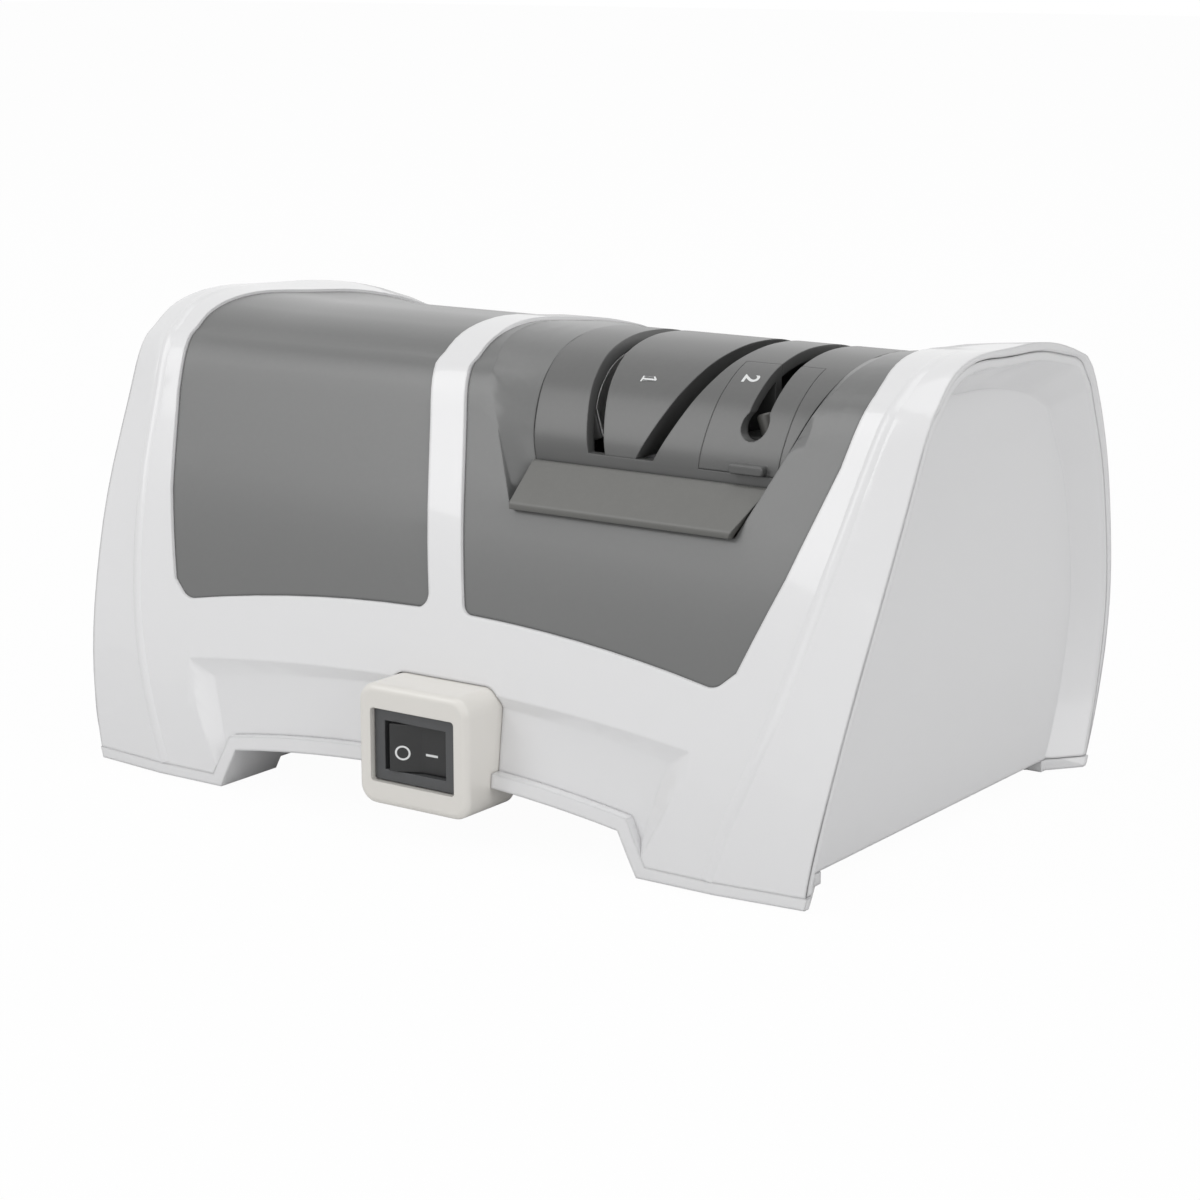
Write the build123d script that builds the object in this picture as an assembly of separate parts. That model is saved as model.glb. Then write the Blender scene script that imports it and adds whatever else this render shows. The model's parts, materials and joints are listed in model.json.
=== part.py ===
from build123d import *
import math
import os

# Electric knife sharpener. Millimetres, +Z up, +X to the right of someone who faces the switch.
# While it is modelled, Y = 0 is the front edge of the feet; write() moves it to the middle of the depth.

# ---- overall form -----------------------------------------------------------------------------
HOUSING_FRONT_Y = -7.4          # front face of the switch housing, the foremost point
REAR_BULGE_Y = 134.9            # rearmost point of the casing
MIDDLE_Y = (HOUSING_FRONT_Y + REAR_BULGE_Y) / 2

# side outline of the casing, from the front foot over the top to the rear foot, as (y, z)
OUTLINE = [
    (0.0, 0.0), (1.2, 20.6), (6.2, 41.2), (13.7, 61.8), (23.2, 82.4), (29.8, 93.0), (36.6, 97.4),
    (62.5, 101.0), (82.0, 100.6), (98.0, 98.4), (111.0, 95.2), (118.4, 92.4), (122.4, 87.0),
    (129.2, 72.7), (133.4, 56.0), (REAR_BULGE_Y, 37.0), (132.9, 23.5), (129.6, 12.0), (124.5, 0.0),
]
# half width of the casing at each height, seen from the front
FLARE = [(0.0, 92.4), (13.4, 95.2), (26.8, 97.2), (42.0, 99.2), (60.0, 101.0), (77.0, 101.9), (112.0, 102.2)]
# half width of the casing at each depth, seen from above
TAPER = [(-12.0, 102.6), (29.0, 102.2), (60.0, 99.1), (118.0, 93.2), (140.0, 91.4)]

COVER_SINK = 1.5                # grey covers lie this far below the white bands
COVER_WALL = 2.4
CASING_WALL = 3.4
SEAT_WALL = 2.1                 # flange under the edge of each cover
SEAT_WIDTH = 3.2
FIT_GAP = 0.15

# end caps: a dished panel behind a thin rim
PANEL_X = 86.5
CAP_WALL = 1.8
RIM_INSET = 3.6
DISH_DEPTH_FRONT, DISH_DEPTH_TOP, DISH_DEPTH_REAR = 16.0, 9.5, 10.4
CAP_BOTTOM_Z = 3.2

# windows for the covers: front view, repeated at the back
ARCH_END = (69.0, 39.6)         # lower window edge at the end bands
ARCH_TOP_Z = 45.9               # and at the centre
BAND_EDGE = [(73.4, 43.4), (80.2, 61.8), (86.2, 82.4), (88.2, 93.5)]
CENTRE_BAND_LEFT = [(-2.4, 46.0), (-17.2, 93.0)]
CENTRE_BAND_RIGHT = [(6.4, 46.0), (-8.2, 93.0)]
ABOVE_TOP_Z = 115.0

# lower edge, feet and the split line between casing and base
FOOT_X = 55.2
FOOT_TOP = (50.4, 9.4)
LOWER_ARCH_Z = 13.3
SPLIT_HEIGHT = 3.0
FOOT_DEPTH = 18.0
REAR_FOOT_Y = 113.0
BASE_FOOT_Z = 0.5               # the rubber pads carry the casing half a millimetre off the table
BASE_WALL = 2.6

# mains inlet in the back wall
INLET = (-53.0, 26.0)
INLET_R = 6.0

# crossing lines of the working parts
AXIS_Y = 61.3                   # motor and wheel axis
AXIS_Z = 58.0
CREST_Z = 98.9
SADDLE_FRONT_Y = 24.0
SADDLE_BOTTOM_Z = 75.2
SADDLE_WALL = 2.4
SLOT_WIDTH = 4.5
SLOT_BOTTOM_Z = 78.3
LEFT_SLOT = (27.4, -19.6)       # x at the slot's bottom, lean in degrees
RIGHT_SLOT = (40.0, 28.2)
FINE_X = 64.4
FINE_SLOT_WIDTH = 3.6
KEYHOLE = (63.4, 87.6, 3.1)
CARTRIDGE_X = (53.2, 71.6)
CARTRIDGE_BOTTOM_Z = 77.8

# switch
SWITCH_X, SWITCH_Z = 4.6, 19.8
HOUSING_SIZE = (28.4, 25.6)
BEZEL_SIZE = (21.0, 15.0)
ROCKER_SIZE = (15.4, 10.0)
ROCKER_TILT = 12.0              # either side of level

# running gear
SHAFT_R = 2.5
SPINDLE_R = 3.0
RUNNING_GAP = 0.05
CAN_R, CAN_X = 26.0, (-76.0, -18.0)
WHEEL_R = 22.0
WHEEL_THICK = 8.0
LEFT_WHEEL_X, RIGHT_WHEEL_X = 24.5, 43.0


# ---- helpers ----------------------------------------------------------------------------------
def between(table, value):
    """Straight-line reading of a table of (place, size) pairs."""
    if value <= table[0][0]:
        return table[0][1]
    for (a, low), (b, high) in zip(table, table[1:]):
        if value <= b:
            return low + (high - low) * (value - a) / (b - a)
    return table[-1][1]


def inset_points(depths):
    """Outline points moved inwards, each by its own depth."""
    moved = []
    last = len(OUTLINE) - 1
    for i, (y, z) in enumerate(OUTLINE):
        before, after = OUTLINE[max(i - 1, 0)], OUTLINE[min(i + 1, last)]
        dy, dz = after[0] - before[0], after[1] - before[1]
        length = math.hypot(dy, dz)
        moved.append((y + depths[i] * dz / length, z - depths[i] * dy / length))
    return moved


def section(points, x, bottom_z=0.0):
    """Closed wire in the plane X = x: a smooth curve over the points and straight sides down."""
    curve = Spline(*[(x, y, z) for y, z in points])
    front, rear = curve @ 0, curve @ 1
    low_front = Vector(x, front.Y, front.Z + bottom_z)
    low_rear = Vector(x, rear.Y, rear.Z + bottom_z)
    if bottom_z == 0.0:
        return Wire([curve.edge(), Line(rear, front).edge()])
    sides = [Line(rear, low_rear), Line(low_rear, low_front), Line(low_front, front)]
    return Wire([curve.edge()] + [side.edge() for side in sides])


def along_x(depth, x0=-110.0, x1=110.0, bottom_z=0.0):
    """The side outline at one depth under the surface, run along X."""
    wire = section(inset_points([depth] * len(OUTLINE)), x0, bottom_z)
    return extrude(Face(wire), amount=x1 - x0, dir=(1, 0, 0))


def front_view(sketch, y0=-12.0, y1=140.0):
    """A sketch drawn as (x, z), run along Y."""
    turned = Plane(origin=(0, y1, 0), x_dir=(1, 0, 0), z_dir=(0, -1, 0)) * sketch
    return extrude(turned, amount=y1 - y0)


def side_view(sketch, x0, x1):
    """A sketch drawn as (y, z), run along X."""
    turned = Plane(origin=(x0, 0, 0), x_dir=(0, 1, 0), z_dir=(1, 0, 0)) * sketch
    return extrude(turned, amount=x1 - x0)


def block(x, y, z):
    """A box from three (low, high) pairs."""
    size = (x[1] - x[0], y[1] - y[0], z[1] - z[0])
    return Pos(sum(x) / 2, sum(y) / 2, sum(z) / 2) * Box(*size)


def rod_x(radius, x, y=AXIS_Y, z=AXIS_Z):
    """A round bar along X between a (low, high) pair."""
    return Pos(sum(x) / 2, y, z) * Rot(0, 90, 0) * Cylinder(radius, x[1] - x[0])


def rod_z(radius, z, x, y):
    """A round bar along Z between a (low, high) pair."""
    return Pos(x, y, sum(z) / 2) * Cylinder(radius, z[1] - z[0])


def polygon(*points):
    """A straight-sided face from its corners."""
    return make_face(Polyline(*points, close=True))


# ---- outer form -------------------------------------------------------------------------------
def half_width(y, z):
    return min(between(FLARE, z), between(TAPER, y))


def flare_and_taper(inset):
    """What the front view and the plan leave of the long outline."""
    right = [(w - inset, z) for z, w in FLARE]
    front = Spline(*right)
    low, high = front @ 0, front @ 1
    front_face = make_face([
        front, Line(high, (-high.X, high.Y)), mirror(front, Plane.YZ), Line((-low.X, low.Y), low),
    ])
    plan = Spline(*[(w - inset, y) for y, w in TAPER])
    near, far = plan @ 0, plan @ 1
    plan_face = make_face([
        plan, Line(far, (-far.X, far.Y)), mirror(plan, Plane.YZ), Line((-near.X, near.Y), near),
    ])
    return front_view(front_face) & Pos(0, 0, -5) * extrude(plan_face, amount=125)


CREASE_INSET = 2.4              # how far the outer facet of an end band falls back at the rim


def crease_plane_x(z):
    return 73.0 + 0.235 * z


def crease_cut():
    """What lies outside the outer facet of the right end band."""
    def facet(t):
        points = inset_points([t * CREASE_INSET] * len(OUTLINE))
        placed = [(crease_plane_x(z) + t * (24.0 - 0.13 * z), y, z) for y, z in points]
        curve = Spline(*placed)
        return Wire([curve.edge(), Line(curve @ 1, curve @ 0).edge()])
    body = Solid.make_loft([facet(-4.0), facet(1.6)], ruled=True)
    return block((crease_plane_x(0) - 8.0, 125.0), (-12, 140), (0.0, 112)) - body


def envelope(inset=0.0, side_inset=0.0, bottom_z=0.0):
    return along_x(inset, bottom_z=bottom_z) & flare_and_taper(side_inset)


# ---- windows, channel and lower edge ----------------------------------------------------------
def arch(end, top_z):
    """Low arc between two points at the same height, as an edge drawn in (x, z)."""
    return ThreePointArc((-end[0], end[1]), (0, top_z), end)


def plan_limit(gap):
    """How far the windows may reach towards the rim, seen from above."""
    edge = [(88.6 - gap, -12), (88.6 - gap, 33), (85.4 - gap, 60), (79.0 - gap, 118), (77.0 - gap, 140)]
    corners = edge + [(-x, y) for x, y in reversed(edge)]
    return Pos(0, 0, 30) * extrude(polygon(*corners), amount=100)


def window_sketch(side, gap):
    """One cover's window in the front view; side is -1 for the left cover and 1 for the right."""
    outer = [(side * x, z) for x, z in BAND_EDGE]
    inner = CENTRE_BAND_LEFT if side < 0 else CENTRE_BAND_RIGHT
    (x0, z0), (x1, z1) = inner
    low_x = x0 + (x0 - x1) * 12.0 / (z1 - z0)
    corners = [(low_x, z0 - 12.0), (x0, z0), (x1, z1), (x1, ABOVE_TOP_Z)]
    corners += [(outer[-1][0], ABOVE_TOP_Z)] + outer[::-1] + [(side * ARCH_END[0], ARCH_END[1])]
    corners += [(side * (ARCH_END[0] - 3.0), z0 - 12.0)]
    rise = arch(ARCH_END, ARCH_TOP_Z)
    below = make_face([
        rise, Line(rise @ 1, (ARCH_END[0], 0)), Line((ARCH_END[0], 0), (-ARCH_END[0], 0)),
        Line((-ARCH_END[0], 0), rise @ 0),
    ])
    window = polygon(*corners) - below
    outside = [v for v in window.vertices() if v.Y < 41.0 and abs(v.X) > 60.0]
    window = fillet(outside, 4.5)
    inside = [v for v in window.vertices() if v.Y < 48.0 and abs(v.X) < 9.0]
    window = fillet(inside, 2.5)
    return offset(window, -gap) if gap else window


def window(side, gap):
    return front_view(window_sketch(side, gap)) & plan_limit(gap)


def under_lower_edge(rise):
    """Front view of the space under the lower edge, raised by `rise`."""
    edge = arch(FOOT_TOP, LOWER_ARCH_Z)
    (top_x, top_z), wide, deep = FOOT_TOP, 120.0, -20.0
    right = Polyline((top_x, top_z), (FOOT_X, 0), (wide, 0), (wide, deep))
    left = Polyline((-wide, deep), (-wide, 0), (-FOOT_X, 0), (-top_x, top_z))
    under = make_face([edge, right, Line((wide, deep), (-wide, deep)), left])
    return offset(under, rise, kind=Kind.INTERSECTION) if rise else under


CHANNEL_DEPTH = 2.0
CHANNEL_TILT = 6.8              # the channel's floor leans back with the front wall


def channel():
    """Shallow channel across the lower front, with sloping ends and a sloping upper wall."""
    def mouth(shrink, depth):
        side = (66.0 - shrink, 27.9 - 0.6 * shrink)
        foot = (52.4 - 0.2 * shrink, -4.0)
        rise = arch(side, 32.8 - 0.5 * shrink)
        face = make_face([rise, Polyline(side, foot, (-foot[0], foot[1]), (-side[0], side[1]))])
        return Pos(0, depth - 0.9, 0) * Rot(90 - CHANNEL_TILT, 0, 0) * face
    deep = 6.5
    outside = mouth(-deep, -CHANNEL_DEPTH)
    floor = mouth(deep, CHANNEL_DEPTH)
    return loft([outside, floor], ruled=True)


# ---- end caps ---------------------------------------------------------------------------------
def dish(x_low, x_high, grow):
    """The hollow of the right end: its outline opens out from the panel to the rim."""
    panel_depth = []
    rim_x = []
    for y, z in OUTLINE:
        if y < 33.0:
            panel_depth.append(DISH_DEPTH_FRONT)
        elif y > 117.0:
            panel_depth.append(DISH_DEPTH_REAR)
        else:
            panel_depth.append(DISH_DEPTH_TOP)
        rim_x.append(half_width(y, z))

    def outline(x):
        depths = []
        for depth, rim in zip(panel_depth, rim_x):
            slope = (RIM_INSET - depth) / (rim - PANEL_X)
            depths.append(depth + slope * (x - PANEL_X) - grow)
        return section(inset_points(depths), x, bottom_z=-8.0)
    return Solid.make_loft([outline(x_low), outline(x_high)], ruled=True)


def end_cap():
    """Right end cap; the left one is its mirror image."""
    tray = dish(PANEL_X - CAP_WALL, 104.0, CAP_WALL) - dish(PANEL_X, 105.0, 0.0)
    return tray & flare_and_taper(0.5) & block((80, 110), (-12, 140), (CAP_BOTTOM_Z, 110))


# ---- the part's pieces ------------------------------------------------------------------------
parts = {}
COLOURS = {"white": Color(0.93, 0.93, 0.92), "grey": Color(0.35, 0.355, 0.36), "dark": Color(0.1, 0.1, 0.1),
           "metal": Color(0.7, 0.7, 0.72)}

skin = envelope() - crease_cut() - mirror(crease_cut(), Plane.YZ)
sunk_skin = envelope(COVER_SINK, COVER_SINK)
below_split = front_view(under_lower_edge(SPLIT_HEIGHT))
cap_seat = dish(PANEL_X - CAP_WALL - FIT_GAP, 104.5, CAP_WALL + FIT_GAP)
cap_seats = cap_seat + mirror(cap_seat, Plane.YZ)

# ---- pocket in the right cover ----
POCKET_FLOOR_Z = 67.0
POCKET_EDGE = {-1: ((11.6, 67.5), (-4.1, 96.0)), 1: ((69.0, 67.5), (78.8, 96.3))}     # in the cover's skin
SADDLE_END = {-1: ((12.0, 67.5), (7.3, 98.9)), 1: ((68.8, 67.5), (76.4, 98.9))}       # ends of the saddle
# front half of the saddle's side view, as (y, z)
SADDLE_HALF = [(24.0, 60.0), (24.0, 76.0), (24.9, 82.0), (28.2, 88.4), (33.6, 93.2), (41.0, 96.7), (51.0, 98.5)]


def line_x(pair, z):
    (x0, z0), (x1, z1) = pair
    return x0 + (x1 - x0) * (z - z0) / (z1 - z0)


def saddle_points(inset):
    """Side view of the saddle, from the front over the crest to the back."""
    turn = [0.0, 0.0, 0.17, 0.55, 0.85, 1.12, 1.4]      # how far each point's normal leans up, in radians
    front = [(y + inset * math.cos(t), z - inset * math.sin(t)) for (y, z), t in zip(SADDLE_HALF, turn)]
    return front + [(AXIS_Y, CREST_Z - inset)] + [(2 * AXIS_Y - y, z) for y, z in front[::-1]]


def shoulder(side, inset):
    """Sloping facet that joins the cover's skin to the saddle's end."""
    def slanted(points, pair, outwards):
        placed = [(line_x(pair, z) + side * (inset + outwards), y, z) for y, z in points]
        curve = split(Spline(*placed), Plane.XY.offset(POCKET_FLOOR_Z + 0.2), keep=Keep.TOP).edge()
        return Wire([curve, Line(curve @ 1, curve @ 0).edge()])
    skin_points = inset_points([COVER_SINK + inset] * len(OUTLINE))[3:15]
    return Solid.make_loft([slanted(skin_points, POCKET_EDGE[side], 0.3),
                            slanted(saddle_points(inset), SADDLE_END[side], 0.0)], ruled=True)


def between_planes(pairs, gap, floor_z):
    """Long prism between two leaning planes, seen from the front."""
    corners = [(line_x(pairs[-1], z) + gap, z) for z in (floor_z, ABOVE_TOP_Z)]
    corners += [(line_x(pairs[1], z) - gap, z) for z in (ABOVE_TOP_Z, floor_z)]
    return front_view(polygon(*corners))


def pocket(grow):
    """The through channel in the right cover, with sloping facets beside the saddle."""
    room = between_planes(POCKET_EDGE, -grow, POCKET_FLOOR_Z - grow)
    return room - shoulder(-1, grow) - shoulder(1, grow)


# ---- casing ----
def make_casing():
    """White moulding: two end bands, a centre band and the lower front and back walls."""
    seat_outer = COVER_SINK + COVER_WALL + 0.1
    inside = along_x(CASING_WALL, bottom_z=-6)
    seat_top = along_x(seat_outer, bottom_z=-6)
    seat_inside = along_x(seat_outer + SEAT_WALL, bottom_z=-6)
    body = skin - inside
    collars = skin - seat_inside
    seats = seat_top - seat_inside
    for side in (-1, 1):
        opening = window(side, 0.0)
        border = window(side, -CASING_WALL)
        body = body - opening
        body += (collars & border) - opening
        body += (seats & border) - window(side, SEAT_WIDTH)
    body = body - below_split - cap_seats - channel()
    body = body - pocket(COVER_WALL + FIT_GAP)
    return body


# ---- covers ----
def make_covers():
    under_cover = along_x(COVER_SINK + COVER_WALL, bottom_z=-6)
    left = (sunk_skin & window(-1, FIT_GAP)) - under_cover
    blank = sunk_skin & window(1, FIT_GAP)
    right = (blank - under_cover) + (blank & pocket(COVER_WALL))
    right = right - pocket(0.0)
    saddle_well = block((12.6, 68.0), (28.5, 2 * AXIS_Y - 28.5), (60, 70))
    return left, right - saddle_well


# ---- base, feet and what is screwed to it ------------------------------------------------------
SCREW_PLACES = [(-66.0, 9.5), (66.0, 9.5), (-66.0, 119.0), (66.0, 119.0)]
PAD_PLACES = [(-80.0, 9.0), (80.0, 9.0), (-80.0, 119.0), (80.0, 119.0)]
BRACKET_Z = 16.6                # top of the pads that carry the motor and wheel brackets
CRADLE_X = (-70.0, -24.0)
CHAMBER_X = (14.0, 55.4)


def make_base():
    """Bottom tray: an arched strip between the feet, a floor at each end and four foot blocks."""
    rim = skin & (below_split - front_view(under_lower_edge(0.0)))
    rim &= block((-110, 110), (-12, 140), (BASE_FOOT_Z, 60))
    inner = along_x(CASING_WALL + FIT_GAP, -PANEL_X + CAP_WALL + FIT_GAP, PANEL_X - CAP_WALL - FIT_GAP)
    floor = inner & block((-110, 110), (-12, 140), (CAP_BOTTOM_Z + 0.2, CAP_BOTTOM_Z + 0.2 + BASE_WALL))
    blocks = inner & block((-110, 110), (-12, 140), (BASE_FOOT_Z, CAP_BOTTOM_Z + 2.8))
    arch_gap = front_view(under_lower_edge(0.0))
    between_feet = block((-110, 110), (FOOT_DEPTH, REAR_FOOT_Y), (-5, CAP_BOTTOM_Z + 0.2))
    body = rim + (floor + blocks - between_feet - arch_gap)
    body -= block((-110, -FOOT_X + 2.0), (FOOT_DEPTH, REAR_FOOT_Y), (-5, CAP_BOTTOM_Z + 0.2))
    body -= block((FOOT_X - 2.0, 110), (FOOT_DEPTH, REAR_FOOT_Y), (-5, CAP_BOTTOM_Z + 0.2))
    body -= dish(PANEL_X, 105.0, 0.0) + mirror(dish(PANEL_X, 105.0, 0.0), Plane.YZ)
    top = (CAP_BOTTOM_Z, BRACKET_Z)
    for x in CRADLE_X:
        body += block((x - 7.0, x + 7.0), (AXIS_Y - 28, AXIS_Y + 28), top) - arch_gap
    body += block((CHAMBER_X[0] - 1, CHAMBER_X[1] + 1), (AXIS_Y - 28, AXIS_Y + 28), top) - arch_gap
    for x, y in SCREW_PLACES:
        body -= rod_z(1.7, (-1, 20), x, y) + rod_z(3.6, (-1, 3.0), x, y)
    for x, y in PAD_PLACES:
        body -= rod_z(5.1, (-1, 1.6), x, y)
    vents = [block((-34 + 8 * i, -30 + 8 * i), (34, 40), (0, 20)) for i in range(5)]
    for vent in vents:
        body -= vent
    return body


def screw(x, y, head_z, length, head_r=3.2, shank_r=1.5):
    """Cross-head screw standing point up, its head underneath."""
    body = rod_z(head_r, (head_z, head_z + 2.0), x, y) + rod_z(shank_r, (head_z + 2.0, head_z + length), x, y)
    slot = Pos(x, y, head_z) * (Box(3.6, 0.8, 1.6) + Box(0.8, 3.6, 1.6))
    return body - slot


def screw_posts():
    """Hollow posts inside the casing that take the base screws."""
    posts = None
    for x, y in SCREW_PLACES:
        wall_y = 2.0 if y < AXIS_Y else 2 * AXIS_Y + 4.0
        post = rod_z(4.0, (6.3, 24.0), x, y) + block((x - 1.2, x + 1.2), sorted((y, wall_y)), (6.3, 24.0))
        post -= rod_z(1.5, (6.0, 20.0), x, y)
        posts = post if posts is None else posts + post
    return posts & along_x(1.0)


# ---- saddle, wedge, cartridge and ledge --------------------------------------------------------
SLOT_TOP_Z = 105.0
HALF_SLOT = SLOT_WIDTH / 2 / math.cos(math.radians(24))
COARSE_SLOTS = ((LEFT_SLOT, -1), (RIGHT_SLOT, 1))
SLOT_WALL_Z = 80.8              # just above the wheels
LEAF_THICK, LEAF_LENGTH = 0.5, 58.0
CARTRIDGE_TOP_Z = 95.0
CARTRIDGE_BACK_Y = 57.0


def slot_centre_x(place, z):
    x, angle = place
    return x + math.tan(math.radians(angle)) * (z - SLOT_BOTTOM_Z)


def between_slots(reach):
    """Front view between the two coarse slots' centre planes, widened by `reach` on each side."""
    corners = [(slot_centre_x(LEFT_SLOT, z) - reach, z) for z in (SLOT_BOTTOM_Z, SLOT_TOP_Z)]
    corners += [(slot_centre_x(RIGHT_SLOT, z) + reach, z) for z in (SLOT_TOP_Z, SLOT_BOTTOM_Z)]
    return polygon(*corners)


def keyhole():
    """Front view of the fine slot: a round hole with a narrow slot rising out of it."""
    x, z, r = KEYHOLE
    half = FINE_SLOT_WIDTH / 2
    slot = polygon((x - half, z), (x + half, z), (FINE_X + half, SLOT_TOP_Z), (FINE_X - half, SLOT_TOP_Z))
    return slot + Pos(x, z) * Circle(r)


def cartridge_room(gap):
    return block((CARTRIDGE_X[0] + gap, CARTRIDGE_X[1] - gap), (10, CARTRIDGE_BACK_Y - gap),
                 (CARTRIDGE_BOTTOM_Z + gap, CARTRIDGE_TOP_Z - gap))


def saddle_form(inset):
    """Outer form of the saddle between the pocket's side walls."""
    points = saddle_points(inset)
    curve = Spline(*points)
    long = side_view(make_face([curve, Line(curve @ 1, curve @ 0)]), 0.0, 90.0)
    return long & between_planes(SADDLE_END, FIT_GAP + inset, POCKET_FLOOR_Z + 0.1)


def slot_wall(place, side, reach, low_z):
    """Front view of a wall that leans with a coarse slot, from a (near, far) reach off its centre plane."""
    near, far = reach
    corners = [(slot_centre_x(place, z) + side * near, z) for z in (low_z, SLOT_TOP_Z)]
    corners += [(slot_centre_x(place, z) + side * far, z) for z in (SLOT_TOP_Z, low_z)]
    return polygon(*corners)


def make_saddle():
    """Moulded saddle over the wheels, open above them and where the fine cartridge goes in."""
    body = saddle_form(0.0) - saddle_form(SADDLE_WALL)
    for place, side in COARSE_SLOTS:
        wall = slot_wall(place, side, (HALF_SLOT + LEAF_THICK + 0.1, HALF_SLOT + LEAF_THICK + 2.1), SLOT_WALL_Z)
        body += front_view(wall) & saddle_form(SADDLE_WALL - 0.1)
    body = body - front_view(between_slots(HALF_SLOT)) - front_view(keyhole())
    body = body - cartridge_room(0.0)
    rail_z = (CARTRIDGE_BOTTOM_Z - 2.2, CARTRIDGE_BOTTOM_Z - 0.05)
    for x in CARTRIDGE_X:
        body += block((x - 1.6, x + 1.6), (25.0, 2 * AXIS_Y - 25.0), rail_z) & saddle_form(0.5)
    return body


def make_wedge():
    """Guide between the coarse slots; its tongues stand inside the saddle's front and back walls."""
    form = saddle_form(0.0) & front_view(between_slots(-HALF_SLOT))
    hollow = saddle_form(3.0) & front_view(between_slots(-HALF_SLOT - 2.4))
    body = form - (hollow & block((0, 90), (0, 130), (60, 90)))
    middle_x = (slot_centre_x(LEFT_SLOT, SLOT_BOTTOM_Z) + slot_centre_x(RIGHT_SLOT, SLOT_BOTTOM_Z)) / 2
    front_y = SADDLE_FRONT_Y + SADDLE_WALL + 0.3
    for y in (front_y, 2 * AXIS_Y - front_y - 2.5):
        body += block((middle_x - 3.4, middle_x + 3.4), (y, y + 2.5), (69.0, SLOT_BOTTOM_Z + 2.5))
    return body


def make_cartridge():
    """Fine-stage insert that pulls out forwards, with a thumb tab on its lower edge."""
    gap = 0.12
    form = saddle_form(0.0) & cartridge_room(gap)
    hollow = block((CARTRIDGE_X[0] + 2.2, CARTRIDGE_X[1] - 2.2), (SADDLE_FRONT_Y + 4.0, CARTRIDGE_BACK_Y - 2.2),
                   (CARTRIDGE_BOTTOM_Z + 2.0, CARTRIDGE_TOP_Z + 2.0))
    body = form - (hollow - saddle_form(0.0) + (hollow & saddle_form(2.2)))
    body += form & block((KEYHOLE[0] - 6.5, KEYHOLE[0] + 6.5), (36.0, 50.0), (CARTRIDGE_BOTTOM_Z, 86.0))
    body -= front_view(keyhole())
    for turn in (-1, 1):
        body -= ceramic_rod(turn, 0.0)
    tab = block((KEYHOLE[0] - 4.6, KEYHOLE[0] + 4.6), (SADDLE_FRONT_Y - 1.3, SADDLE_FRONT_Y + 2.0),
                (CARTRIDGE_BOTTOM_Z + gap, CARTRIDGE_BOTTOM_Z + 2.6))
    return body + fillet(tab.edges().group_by(Axis.Y)[0], 0.6)


ROD_R, ROD_LENGTH, ROD_LEAN = 1.6, 15.0, 20.0
ROD_CROSS_Z = 85.0


def ceramic_rod(turn, grow):
    """One of the two crossed rods; they cross below the middle of the fine slot."""
    y = 43.0 + turn * (ROD_R + 0.2)
    placed = Pos(KEYHOLE[0], y, ROD_CROSS_Z) * Rot(0, turn * ROD_LEAN, 0)
    return placed * Pos(0, 0, 1.0) * Cylinder(ROD_R + grow, ROD_LENGTH)


def make_ledge():
    """Knife rest in front of the saddle, with an overhanging front lip."""
    outer = [(15.7, 67.15), (16.1, 69.0), (22.7, 76.3), (23.75, 76.3), (23.75, 67.15)]
    inner = [(22.0, 67.15), (22.0, 72.9), (17.6, 68.2), (17.4, 67.15)]
    ledge = side_view(polygon(*outer, *inner), 0.0, 90.0)
    return ledge & front_view(polygon((13.3, 60.0), (13.3, 80.0), (74.0, 80.0), (62.2, 60.0))) & between_planes(SADDLE_END, 0.3, 60.0)


# ---- switch ------------------------------------------------------------------------------------
BEZEL_Y = HOUSING_FRONT_Y + 1.2
PIVOT_Y = HOUSING_FRONT_Y + 6.0
SWITCH_BODY_SIZE = (19.0, 12.8)
HOUSING_BACK_Y = 8.5
SWITCH_BACK_Y = 10.5
PIN_R, PIN_LENGTH = 1.2, 12.2


def plate(size, y, centre=(SWITCH_X, SWITCH_Z), radius=0.0):
    """Upright block facing the front, from a (width, height) pair and a (low, high) y pair."""
    outline = RectangleRounded(*size, radius) if radius else Rectangle(*size)
    return front_view(Pos(*centre) * outline, *y)


def make_switch_housing():
    box = plate(HOUSING_SIZE, (HOUSING_FRONT_Y, HOUSING_BACK_Y), radius=4.0)
    box = fillet(box.edges().group_by(Axis.Y)[0], 1.6)
    inside = (HOUSING_SIZE[0] - 4.4, HOUSING_SIZE[1] - 4.4)
    box -= plate(inside, (HOUSING_FRONT_Y + 4.0, HOUSING_BACK_Y + 1), radius=2.0)
    box -= plate((BEZEL_SIZE[0] + 0.6, BEZEL_SIZE[1] + 0.6), (HOUSING_FRONT_Y - 1, BEZEL_Y + 1.6), radius=0.8)
    return box - plate((SWITCH_BODY_SIZE[0] + 0.2, SWITCH_BODY_SIZE[1] + 0.2), (-12, 10))


def make_switch_body():
    body = plate(BEZEL_SIZE, (BEZEL_Y, BEZEL_Y + 1.6), radius=0.5)
    body += plate(SWITCH_BODY_SIZE, (BEZEL_Y + 1.5, SWITCH_BACK_Y))
    body -= plate((ROCKER_SIZE[0] + 0.4, ROCKER_SIZE[1] + 0.4), (BEZEL_Y - 1, PIVOT_Y + 4.6))
    reach = SWITCH_BODY_SIZE[1] / 2 + 1.0
    return body - rod_z(PIN_R + RUNNING_GAP, (SWITCH_Z - reach, SWITCH_Z + reach), SWITCH_X, PIVOT_Y)


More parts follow.
